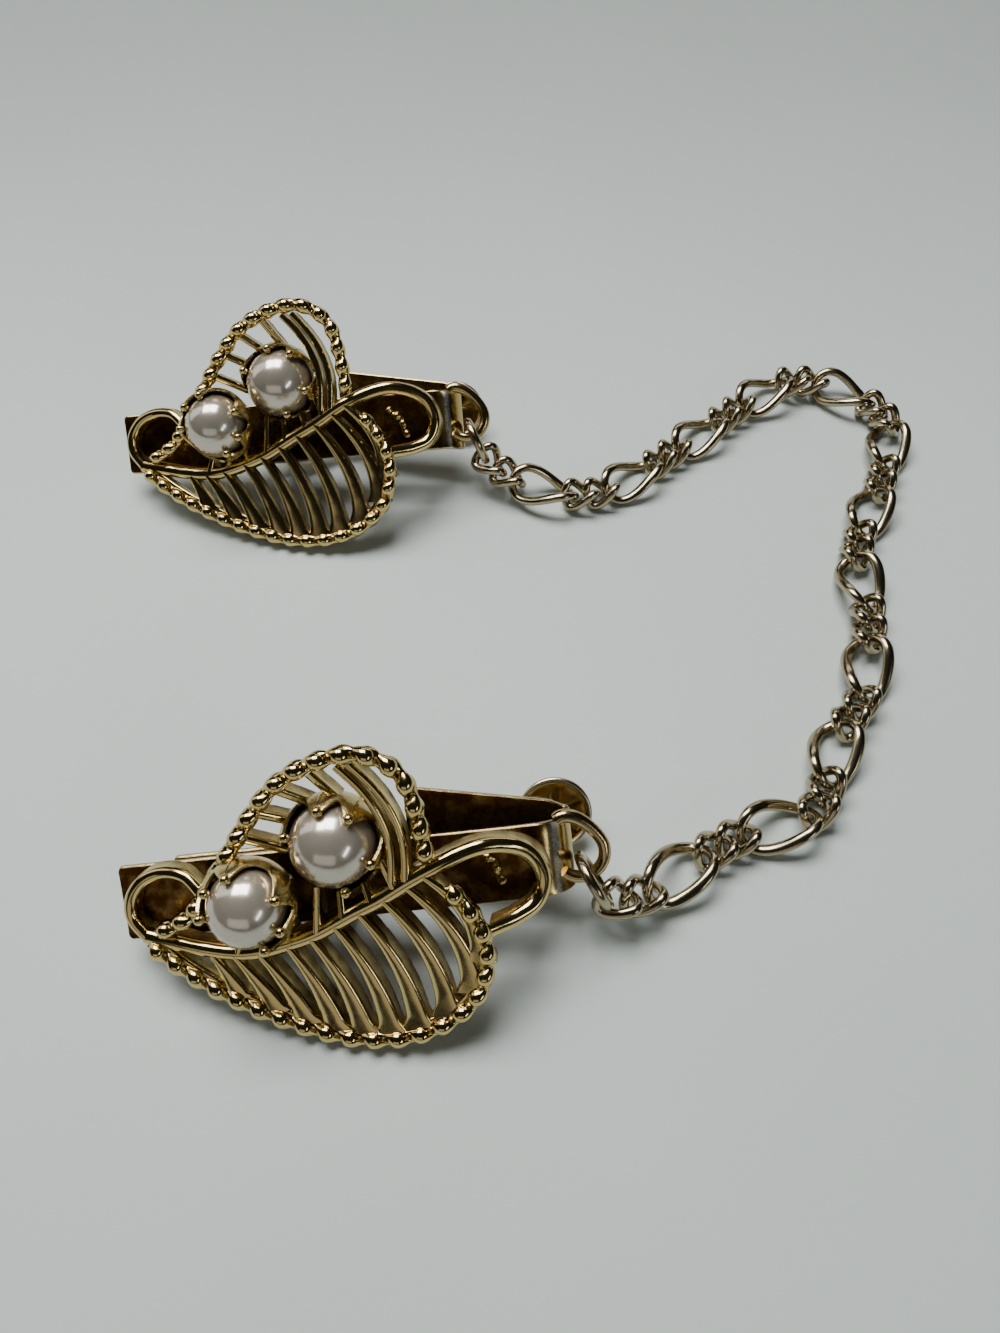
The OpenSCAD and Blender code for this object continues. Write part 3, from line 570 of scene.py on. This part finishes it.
def pearl_cup(centre, d, turns):
    """A pearl's cup, a shell round its lower side: at each angle its section runs up the inside to
    the rim and back down the outside, and the rim's height is a low level, higher on one side by
    a cosine, plus a bell curve at each claw."""
    around = angles(240)
    apart = np.abs((around[:, None] - radians(turns) + pi) % (2 * pi) - pi)
    peak = np.exp(-(apart.min(1) / radians(19)) ** 2)
    side = 0.5 + 0.5 * cos(around - radians(55))
    top = radians(-14 + 16 * side + 32 * peak)[:, None]
    bottom = -arcsin(SEAT_LOW)
    climb = np.linspace(0, 1, 12)
    e = np.hstack([bottom + climb * (top - bottom), top + (bottom - top) * climb])
    gap, thick, flare = PEARL_GAP + 0.06, 0.4, 0.16
    inside = d / 2 + gap + flare * climb ** 2
    away = np.hstack([inside, inside[::-1] + thick])
    away[[11, 12]] += [0.1, -0.1]
    level = away * cos(e)
    grid = np.stack([level * cos(around)[:, None], level * sin(around)[:, None],
                     away * sin(e)], -1) + centre
    # Inside the cup under the pearl, and down its outside: tarnish and painted shade
    hollow = np.hstack([np.ones(11), [0.3, 0.1], 0.2 + 0.7 * climb[:-1]])
    return skinned(grid, closed=True, polish=0.6, hollow=hollow)


def claw(centre, d, turn):
    """A claw: a wire that follows the pearl's side on a circle round its middle, and narrows
    upwards in a straight taper to the ball at its tip, whose radius is the ball's own circle."""
    climb = np.linspace(-42, 90 - CLAW_POLAR + 6, 40)
    reach = CLAW_D / 2 + 0.05
    away = reach + (CLAW_BALL_D * 0.5 - reach) * eased(climb, 18, 90 - CLAW_POLAR)
    away, e = (d / 2 + PEARL_GAP + away)[:, None], radians(climb)[:, None]
    path = centre + away * np.hstack([cos(turn) * cos(e), sin(turn) * cos(e), sin(e)])
    length = run_of(path)
    ball_r = CLAW_BALL_D * 0.55
    to_ball = length - (length[-1] - ball_r * 0.98)
    ball = np.sqrt(np.maximum(ball_r ** 2 - to_ball ** 2, 0))
    taper = CLAW_D / 2 * (1.15 - 0.3 * np.linspace(0, 1, 40))
    radius = np.maximum(np.maximum(np.where(to_ball > 0, 0, taper), ball), 0.02)
    # The claw's foot, below the pearl's middle, gets tarnish and painted shade
    return tube(path, radius, 16, up=[-sin(turn), cos(turn), 0.0], polish=0.85,
                hollow=(1 - eased(climb, -30, 25))[:, None])


def leaf_edges(detail):
    """The two rope edges, and the thin rim of metal inside the lower one that the feet run into."""
    lower, upper = (evenly(curve_through(on_leaf(edge), 10), 200)
                    for edge in (LOWER_EDGE, UPPER_EDGE))
    radii = detail.bead_radius / MM, detail.waist_radius / MM
    rim = (lower + sideways(headings(lower)) * 0.62 - 0.12 * UP)[8:-34]
    return (rope_strands(lower, *radii) + rope_strands(upper, *radii)
            + [wall(rim, 0.55, WALL_DEPTH * 0.75, 0.24, seed=2.0)])


def strip_line():
    """The base strip's side line [x, z], its angle and the length along it: straight, round the
    bend, over a tight corner, and back as the spring arm. The angle turns evenly within each part,
    and the line is its running sum."""
    start, bend, tight_r, step = STRIP_LEN - 2, radians(75), 0.26, 0.05
    rest = radians(180 - SPRING_ANGLE) - bend
    fold_at = start + FOLD_R * bend + 0.05
    s = np.arange(0, fold_at + tight_r * rest + SPRING_LEN, step)
    a = (-bend * np.clip((s - start) / (FOLD_R * bend), 0, 1)
         - rest * np.clip((s - fold_at) / (tight_r * rest), 0, 1))
    x, z = (np.append(0, np.cumsum(part[:-1] * step)) for part in (cos(a), sin(a)))
    return np.stack([x, z - SHEET_T / 2], 1), a, s, fold_at


# How far each of the 24 points round a sheet's section is on the front, on a flat face and on an
# edge: nine go across the front, three round an edge, nine across the back and three round an edge
FRONT = np.hstack([np.ones(9), [1, 0.5, 0], np.zeros(9), [0, 0.5, 1]])
FLAT = np.tile(np.repeat([1.0, 0.0], [9, 3]), 2)
EDGES = 1 - FLAT
SHEET_EDGE = 0.16


def drawn_in(distance, radius):
    """What a rounded corner takes off at this distance from the end: its radius less a circle."""
    return radius * (1 - np.sqrt(1 - np.clip((radius - distance) / radius, 0, 1) ** 2))


def bent_sheet(line, angle, low, high, drawn, thickness, **finish):
    """A sheet bent along a side line [x, z]: at each point a rounded section square to the line,
    from low to high across y, drawn in at both, and thicker at its cut edges by a high power of
    the share from the middle."""
    across = np.array([-1.0, -0.97, -0.8, -0.45, 0, 0.45, 0.8, 0.97, 1.0])
    turn = np.linspace(0, pi, 5)[1:-1]
    half = np.stack([np.append(across, np.ones(3)),
                     np.append(0 * across, SHEET_EDGE * sin(turn)),
                     np.append(np.ones(9), cos(turn))])
    share, rounding, up = np.hstack([half, -half])
    y = ((low + high) / 2)[:, None] + share * ((high - low) / 2 - drawn - SHEET_EDGE)[:, None]
    thick = np.broadcast_to(thickness, len(line))[:, None]
    off = up * thick / 2 * (1 + 0.22 * np.abs(share) ** 14)
    grid = np.stack([line[:, :1] - sin(angle)[:, None] * off, y + rounding,
                     line[:, 1:] + cos(angle)[:, None] * off], -1)
    return skinned(grid, **finish)


def base_strip():
    """The base strip, folded in one piece with its spring arm, with its end loop and two ears."""
    line, angle, s, fold_at = strip_line()
    end = s[-1]
    back = np.clip((s - fold_at - 0.6) / (end - fold_at - 0.6), 0, 1)
    low = -STRIP_W / 2 + back * (STRIP_W / 2 - 0.1)
    high = STRIP_W / 2 + back * SPRING_RISE * 0.98 + 0.85 * eased(s, fold_at - 1.5, fold_at + 2)
    drawn = drawn_in(end - s, 1.4) + drawn_in(s, 0.35)
    thickness = SHEET_T - 0.07 * eased(s, fold_at - 1, fold_at + 1)
    # Tarnish and painted shade: inside the fold and a little outside the arm. Painted shade: on the
    # front under the leaf. Wear and a painted highlight streak: on the bend; the edges are paler,
    # worn and a painted highlight
    inside = (1 - FRONT) * eased(s, 14, 18)[:, None] * FLAT
    painted_shade_under_leaf = FRONT * FLAT * (1 - eased(s, fold_at - 3.3, fold_at - 2.5))[:, None]
    outside_arm = FRONT * FLAT * eased(s, fold_at, fold_at + 1)[:, None] * 0.2
    # A narrow band on the bend's front: worn metal painted as its bright highlight streak
    worn_and_highlit_bend = np.exp(-((s - fold_at + 2.2) / 0.34) ** 2)[:, None] * FRONT
    sheet = bent_sheet(line, angle, low, high, drawn, thickness,
                       hollow=np.clip(inside + painted_shade_under_leaf + outside_arm, 0, 1),
                       polish=1 - 0.5 * inside - 0.2 * painted_shade_under_leaf,
                       wear=np.maximum(worn_and_highlit_bend, 0.5 * EDGES))
    # The end loop: a round wire on a circle, its upper end drawn up to the bend's top corner
    around = np.linspace(-133, 133, 80)
    turn, lift = radians(around), eased(around, 25, 133)
    path = LOOP_AT + np.stack([LOOP_R * cos(turn) - 0.25 * lift,
                               LOOP_R * sin(turn) + 1.5 * lift, 0.35 * lift], 1)
    loop = tube(path, LOOP_WIRE / 2 * (1.1 + 0.12 * eased(around, 20, 120)), 18, wear=0.3)
    # The run of solder: a low ridge, its radius uneven along the way by a sine
    run = evenly(curve_through(SOLDER_RUN, 8), 60)
    lumps = rounded_ends(61, 0.42, 3.8) * (1 + 0.2 * sin(np.linspace(0, 23, 61)))
    return [sheet, loop, tube(run, lumps, 14, polish=0.8)] + ears(-SHEET_T / 2, EAR_Y)


def ears(z_end, y):
    """Two pivot ears with their holes: at each angle round the pin the section runs from the hole
    out to the ear's edge, a half circle on one side and a straight tab on the other, and back."""
    a = angles(96)
    towards = np.maximum(sin(a) * np.sign(z_end - PIVOT_Z), 0)
    tab = np.minimum(EAR_R / np.maximum(np.abs(cos(a)), 1e-6),
                     abs(z_end - PIVOT_Z) / np.maximum(towards, 1e-6))
    outer = np.where(towards > 0, tab, EAR_R)
    edge, hole, t = 0.07, PIN_D / 2 + PIN_GAP + 0 * a, EAR_T / 2
    r = np.stack([hole + edge, hole + 0.3, outer - edge, outer, outer, outer - edge, hole + 0.3,
                  hole + edge, hole, hole], 1)
    side = np.array([-t, -t, -t, edge - t, t - edge, t, t, t, t - edge, edge - t])
    # The ears get a little tarnish and painted shade
    return [skinned(np.stack([PIVOT_X + r * cos(a)[:, None], 0 * r + s * y + side,
                              PIVOT_Z + r * sin(a)[:, None]], -1),
                    closed=True, hollow=0.35, polish=0.7) for s in (-1, 1)]


def lever():
    """The lever: a jaw plate, a riser over the pivot, a tail that narrows, and the thumb tab. Its
    side line has eased corners."""
    jaw_z = -SHEET_T * 1.5 - JAW_GAP
    corners = np.array([[JAW_SHORT, jaw_z], [PIVOT_X - 4, jaw_z], [PIVOT_X - 1.8, TAIL_Z],
                        [PIVOT_X + 1.6, TAIL_Z], [PIVOT_X + 6, TAIL_Z - 1.55],
                        [TAB_AT[0] - 2.6, TAB_AT[2] + 0.5], [TAB_AT[0] - 1, TAB_AT[2] + 0.05]])
    line = softened(evenly(corners, 420), 5)
    step = np.gradient(line, axis=0)
    x = line[:, 0]
    share = np.clip((x - (PIVOT_X + 2)) / (TAB_AT[0] - PIVOT_X - 2), 0, 1)
    tail = eased(x, PIVOT_X + 1.2, PIVOT_X + 3.2)
    body = STRIP_W / 2 + 0.2 - 0.3 * eased(x, PIVOT_X - 4, PIVOT_X - 2.6)
    low = -body * (1 - tail) + tail * (-2.1 + share * (TAB_AT[1] - 0.1))
    high = body * (1 - tail) + tail * (2.1 + share * (TAB_AT[1] - 0.3))
    # The front face, which faces the strip's back, gets tarnish and painted shade; the edges are
    # paler, worn and a painted highlight
    sheet = bent_sheet(line, np.arctan2(step[:, 1], step[:, 0]), low, high,
                       drawn_in(x - JAW_SHORT, 0.5), SHEET_T, hollow=0.85 * FRONT * FLAT,
                       polish=1 - 0.4 * FRONT * FLAT, wear=0.5 * EDGES)
    return [sheet, thumb_tab()] + ears(TAIL_Z, LEVER_EAR_Y)


def thumb_tab():
    """The thumb tab as a bowl turned about Z: height rises with a power of the radius to a rolled
    rim, a bell curve, plus five creases, a power of |cos 2.5 a|, that die out before the rim."""
    r = TAB_D / 2
    inner = np.hstack([np.linspace(0.06, 0.78, 14), np.linspace(0.82, 0.985, 9)])
    top = 0.17 + 0.42 * inner ** 2.4 + 0.2 * np.exp(-((inner - 0.93) / 0.055) ** 2)
    under = np.linspace(0.96, 0.06, 18)
    radius = np.hstack([inner, [1.0, 1.0, 0.985], under])[:, None]
    height = np.hstack([top, [0.56, 0.42, 0.31], -0.23 + 0.5 * under ** 2.4])[:, None]
    a = angles(120)
    crease = (0.2 * (np.abs(cos(2.5 * a + 0.6)) ** 0.6 - 0.5)
              * np.sqrt(radius) * (1 - eased(radius, 0.6, 0.86)))
    grid = np.stack([r * radius * cos(a), r * radius * sin(a), height + crease], -1) + TAB_AT
    # Tarnish and painted shade in the bowl and underneath; wear on the rim
    hollow = np.hstack([0.5 * (1 - eased(inner, 0.72, 0.86)), [0, 0, 0], np.full(18, 0.2)])
    wear = np.hstack([0.6 * eased(inner, 0.82, 0.92), [0.6, 0.6, 0.3], np.zeros(18)])
    return skinned(grid, poles=(TAB_AT + 0.17 * UP, TAB_AT - 0.23 * UP), hollow=hollow[:, None],
                   wear=wear[:, None])


def pivot_pin():
    """The pivot pin: a round rod with softly domed, riveted ends."""
    r, rivet = PIN_D / 2, 0.18
    straight = LEVER_EAR_Y + (EAR_T + 0.5) / 2 - rivet
    bulge = np.linspace(0, pi / 2, 7)
    end = np.stack([r * sin(bulge), straight + rivet * cos(bulge)], 1)
    profile = np.vstack([end, [r, 0.0], (end * [1, -1])[::-1]])
    # The pin gets a little tarnish and painted shade
    return revolved(profile, [PIVOT_X, 0, PIVOT_Z], 40, turned([90, 0, 0]), hollow=0.3)


def ring_frame(clip):
    """The jump ring's frame in the mechanism's: upright across the end loop, swung to the chain."""
    return RING_AT, turned([0, 90, RING_SWING[clip]])


def jump_ring(clip):
    """The jump ring: a round wire on a circle, its two cut ends butted with a hairline between."""
    a = radians(np.linspace(100.4, 459.6, 110))
    path = (RING_D - RING_WIRE) / 2 * np.stack([cos(a), sin(a), 0 * a], 1)
    radius = np.full(110, RING_WIRE / 2)
    radius[[0, -1]] *= 0.9
    return tube(placed(path, ring_frame(clip)), radius, 18, up=ring_frame(clip)[1] @ UP)


def ring_hold(clip):
    """Where the chain's end link holds its ring: a point just inside the ring's wire."""
    r, a = (RING_D - RING_WIRE) / 2 - 0.55, radians(HOLD_ANGLE[clip])
    point = placed([r * cos(a), r * sin(a), 0], ring_frame(clip))
    return placed(placed(point, MECHANISM), CLIPS[clip])


def chain_links(sides, rings):
    """Every link: an oval a cos t, b sin t whose height is rise sin 2t, which twists its ends
    opposite ways, set along the chord of its stretch of the route and rolled a little near the
    rings. The wire's section is a circle made a little squarer, and grows wider towards the
    link's inside along its two sides, most in the big links."""
    path = curve_through(np.vstack([ring_hold("far"), ROUTE, ring_hold("near")]), 6)
    k = np.arange(LINKS)
    big = k % 3 == 2
    length, width = np.where(big, BIG_L, SMALL_L), np.where(big, BIG_W, SMALL_W)
    twist, more = np.where(big, BIG_TWIST, SMALL_TWIST), np.where(big, 0.3, 0.105)
    reach = np.hstack([[0], np.cumsum(length - 2 * WIRE_D)])
    joints = at_lengths(path, reach * run_of(path)[-1] / reach[-1])
    middle = (joints[1:] + joints[:-1]) / 2
    h = unit(np.diff(joints, axis=0))
    flat = sideways(h)
    roll = radians(-5 * np.maximum(0, 1 - k / 4)
                   - 16 * np.maximum(0, 1 - (LINKS - 1 - k) / 6.5))[:, None]
    s = flat * cos(roll) + np.cross(h, flat) * sin(roll)
    frames = np.stack([h, s, np.cross(h, s)], -1)
    t, u = angles(rings), angles(sides)
    x, y = squared(cos(u), 0.92)[:, None] * 0.93, squared(sin(u), 0.85)[:, None] * 0.94
    # hollow on each link's inside, most at its ends where the next links pass: tarnish and painted
    # shade
    hollow = (0.5 - 0.5 * cos(u)) * (0.15 + 0.45 * np.abs(cos(t)) ** 3)[:, None]
    forms = []
    for i in range(LINKS):
        a, b = (length[i] - WIRE_D) / 2, (width[i] - WIRE_D) / 2
        rise = -b * tan(radians(twist[i])) / 2
        line = np.stack([a * cos(t), b * sin(t), rise * sin(2 * t)], 1)
        d = unit(np.roll(line, -1, 0) - np.roll(line, 1, 0))
        e = unit(np.cross(d, np.cross(line * [1, 2, 0], d)))
        along = more[i] * (np.abs(sin(t)) ** 1.3)[:, None, None]
        wire = e[:, None] * (x * (1 + along) - along) + np.cross(d, e)[:, None] * y
        grid = line[:, None] + WIRE_D / 2 * wire
        forms.append(skinned(placed(grid, (middle[i], frames[i])), closed=True, hollow=hollow))
    return forms


def colour_setting(name, description, hex_colour):
    """A colour in the sidebar."""
    return FloatVectorProperty(name=name, description=description, subtype="COLOR", size=3,
                               min=0, max=1, default=linear(hex_colour))


class ClipFinish(bpy.types.PropertyGroup):
    """Colours of the clip's metals and pearls."""

    gold: colour_setting("Gold", "Buffed gold of the leaf", "#D0B97E")
    strip: colour_setting("Strip", "Brass of base strip and lever", "#B39A62")
    chain: colour_setting("Chain", "Paler brass of the chain", "#AEA184")
    # Tarnish colour, also used for the painted shade in recesses and between parts
    tarnish: colour_setting("Tarnish", "Brown tarnish in the recesses", "#4E300D")
    # Worn colour, also used for the painted highlight on the strip's bend and the sheet edges
    worn: colour_setting("Worn metal", "Metal where the gold is rubbed through", "#C9C6BC")
    pearl: colour_setting("Pearl", "Milky body of the pearls", "#D2C9B8")
    pearl_rim: colour_setting("Overtone", "Rosy overtone of the pearls", "#A08A72")
    lustre: FloatProperty(name="Lustre", description="Share of the pearl's glow that mirrors",
                          subtype="FACTOR", min=0, max=1, default=0.62)


class ClipDetail(bpy.types.PropertyGroup):
    """Fine sizes that the solids leave out."""

    bead_radius: FloatProperty(name="Bead radius", description="Radius of a rope bead, middle",
                               unit="LENGTH", precision=5, min=0.0005, max=0.0008, default=0.00068)
    waist_radius: FloatProperty(name="Waist radius", description="Radius of a strand between beads",
                                unit="LENGTH", precision=5, min=0.0002, max=0.0004, default=0.00028)
    wire_sides: IntProperty(name="Wire sides", description="Points round a chain link's wire",
                            min=8, max=24, default=14)
    link_rings: IntProperty(name="Link rings", description="Sections round one chain link",
                            min=24, max=96, default=56)


class ClipStage(bpy.types.PropertyGroup):
    """Table and light."""

    floor: colour_setting("Floor", "Pale table top", "#C9D2CC")
    key_power: FloatProperty(name="Window light", description="Power of the two softboxes overhead",
                             unit="POWER", min=0, default=4.7)
    room: FloatProperty(name="Room light", description="Brightness of the room round the table",
                        min=0, default=0.014)


def clip_pieces(name, node, forms, slot, body="clips", mechanism=False, clips=tuple(CLIPS)):
    """A piece on each clip for the clip's node, from forms in the leaf's frame or mechanism's."""
    for clip in clips:
        made = forms
        for at in ([MECHANISM] if mechanism else []) + [CLIPS[clip]]:
            made = [dict(form, points=placed(form["points"], at)) for form in made]
        make_piece(clip + "_" + name, made, slot, body.format(clip), clip + "_" + node)
    return {"FINISHED"}


class CLIP_OT_stage(bpy.types.Operator):
    """Sets out the table, the soft lights and the camera"""

    bl_idname = "clip.stage"
    bl_label = "Stage"

    def execute(self, context):
        settings, link = context.scene.clip_stage, context.scene.collection.objects.link
        mesh = bpy.data.meshes.new("table_top")
        x, y = np.meshgrid(np.linspace(-1.5, 1.5, 9), np.linspace(-1.5, 1.5, 9))
        index = np.arange(81).reshape(9, 9)
        faces = np.stack([index[:-1, :-1], index[:-1, 1:], index[1:, 1:], index[1:, :-1]], -1)
        mesh.from_pydata(np.stack([x, y, 0 * x], -1).reshape(-1, 3).tolist(), [],
                         faces.reshape(-1, 4).tolist())
        mesh.materials.append(floor_material("table_top_satin_laminate", settings.floor))
        table = bpy.data.objects.new("table_top", mesh)
        link(table)

        for name, place, target, width, height, share, colour in LIGHTS:
            lamp = bpy.data.lights.new("light_" + name, "AREA")
            lamp.shape, lamp.size, lamp.size_y = "RECTANGLE", width, height
            lamp.energy, lamp.color = settings.key_power * share, colour
            softbox = bpy.data.objects.new("light_" + name, lamp)
            back = unit(np.subtract(place, target))
            right = unit(np.cross([0.0, 1.0, 0.001], back))
            matrix = np.eye(4)
            matrix[:3] = np.stack([right, np.cross(back, right), back, place], 1)
            softbox.matrix_world = Matrix(matrix.tolist())
            link(softbox)

        world = bpy.data.worlds.new("room")
        world.use_nodes = True
        world.node_tree.nodes.clear()
        shade = add_node(world.node_tree, "Background", (0.9, 0.95, 1.0, 1), settings.room)
        add_node(world.node_tree, "OutputWorld", Surface=shade)
        context.scene.world = world

        camera = bpy.data.cameras.new("camera")
        camera.lens, camera.sensor_width, camera.sensor_fit = CAMERA_LENS, 36.0, "AUTO"
        camera.clip_start, camera.clip_end = 0.005, 20.0
        eye = bpy.data.objects.new("camera", camera)
        eye.location = [c * MM for c in CAMERA_AT]
        eye.rotation_euler = (radians(90 - CAMERA_PITCH), 0, 0)
        link(eye)
        context.scene.camera = eye
        return {"FINISHED"}


class CLIP_OT_edges(bpy.types.Operator):
    """Makes the leaves' twisted rope edges"""

    bl_idname = "clip.edges"
    bl_label = "Rope edges"

    def execute(self, context):
        return clip_pieces("rope_edges", "leaf", leaf_edges(context.scene.clip_detail),
                           "gilt_brass")


class CLIP_OT_midribs(bpy.types.Operator):
    """Makes the midribs with their stem loops, and the tip loops"""

    bl_idname = "clip.midribs"
    bl_label = "Midribs and loops"

    def execute(self, context):
        return clip_pieces("midrib", "leaf", leaf_midrib(), "gilt_brass")


class CLIP_OT_ribs(bpy.types.Operator):
    """Makes the leaves' ribs"""

    bl_idname = "clip.ribs"
    bl_label = "Ribs"

    def execute(self, context):
        return clip_pieces("ribs", "leaf", leaf_ribs(), "gilt_brass")


class CLIP_OT_settings(bpy.types.Operator):
    """Makes the pearls' cups, claws and solder feet"""

    bl_idname = "clip.settings"
    bl_label = "Pearl settings"

    def execute(self, context):
        forms = []
        for centre, d, turns in SETTINGS.values():
            forms.append(pearl_cup(centre, d, turns))
            forms += [claw(centre, d, turn) for turn in radians(turns)]
        forms += [solder_foot(*foot) for foot in SOLDER_FEET]
        return clip_pieces("settings", "leaf", forms, "gilt_brass")


class CLIP_OT_pearls(bpy.types.Operator):
    """Makes the four pearls"""

    bl_idname = "clip.pearls"
    bl_label = "Pearls"

    def execute(self, context):
        for size, (centre, d, turns) in SETTINGS.items():
            # A ball: radius r sin a and height r cos a
            a = np.linspace(0, pi, 49)
            ball = revolved(d / 2 * np.stack([sin(a), cos(a)], 1), centre, 96)
            clip_pieces(size + "_pearl_nacre", size + "_pearl", [ball], "pearl")
        return {"FINISHED"}


class CLIP_OT_strips(bpy.types.Operator):
    """Makes the base strips with their spring arms, end loops and ears"""

    bl_idname = "clip.strips"
    bl_label = "Base strips"

    def execute(self, context):
        return clip_pieces("base_strip_folded", "base_strip", base_strip(), "strip_brass",
                           mechanism=True)


class CLIP_OT_levers(bpy.types.Operator):
    """Makes the jaw levers with their thumb tabs, which turn on the pivots"""

    bl_idname = "clip.levers"
    bl_label = "Levers"

    def execute(self, context):
        return clip_pieces("lever_pressed", "lever", lever(), "strip_brass",
                           body="{}_jaw_lever", mechanism=True)


class CLIP_OT_pins(bpy.types.Operator):
    """Makes the pivot pins"""

    bl_idname = "clip.pins"
    bl_label = "Pivot pins"

    def execute(self, context):
        return clip_pieces("pivot_pin_riveted", "pivot_pin", [pivot_pin()], "strip_brass",
                           mechanism=True)


class CLIP_OT_rings(bpy.types.Operator):
    """Makes the jump rings"""

    bl_idname = "clip.rings"
    bl_label = "Jump rings"

    def execute(self, context):
        for clip in CLIPS:
            clip_pieces("jump_ring_wire", "jump_ring", [jump_ring(clip)], "chain_brass",
                        mechanism=True, clips=[clip])
        return {"FINISHED"}


class CLIP_OT_chain(bpy.types.Operator):
    """Makes the chain's links"""

    bl_idname = "clip.chain"
    bl_label = "Chain"

    def execute(self, context):
        detail = context.scene.clip_detail
        forms = chain_links(detail.wire_sides, detail.link_rings)
        return make_piece("chain_links", forms, "chain_brass", "clips", "chain")


GROUPS = {"clip_finish": ClipFinish, "clip_detail": ClipDetail, "clip_stage": ClipStage}
OPERATORS = (CLIP_OT_stage, CLIP_OT_edges, CLIP_OT_midribs, CLIP_OT_ribs, CLIP_OT_settings,
             CLIP_OT_pearls, CLIP_OT_strips, CLIP_OT_levers, CLIP_OT_pins, CLIP_OT_rings,
             CLIP_OT_chain)


class CLIP_PT_panel(bpy.types.Panel):
    """Lists the clip's pieces and settings in the sidebar"""

    bl_idname = "CLIP_PT_panel"
    bl_label = "Sweater clip"
    bl_space_type = "VIEW_3D"
    bl_region_type = "UI"
    bl_category = "Sweater clip"

    def draw(self, context):
        for operator in OPERATORS:
            self.layout.operator(operator.bl_idname)
        for name in GROUPS:
            group = getattr(context.scene, name)
            box = self.layout.box()
            for prop in group.bl_rna.properties:
                if prop.identifier not in ("rna_type", "name"):
                    box.prop(group, prop.identifier)


CLASSES = (*GROUPS.values(), *OPERATORS, CLIP_PT_panel)


def register():
    for cls in CLASSES:
        bpy.utils.register_class(cls)
    for name, group in GROUPS.items():
        setattr(bpy.types.Scene, name, PointerProperty(type=group))


def unregister():
    for name in GROUPS:
        delattr(bpy.types.Scene, name)
    for cls in reversed(CLASSES):
        bpy.utils.unregister_class(cls)


def main():
    """Registers the add-on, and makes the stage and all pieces."""
    register()
    for operator in OPERATORS:
        getattr(bpy.ops.clip, operator.bl_idname.split(".")[1])()
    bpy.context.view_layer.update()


if __name__ == "__main__":
    main()
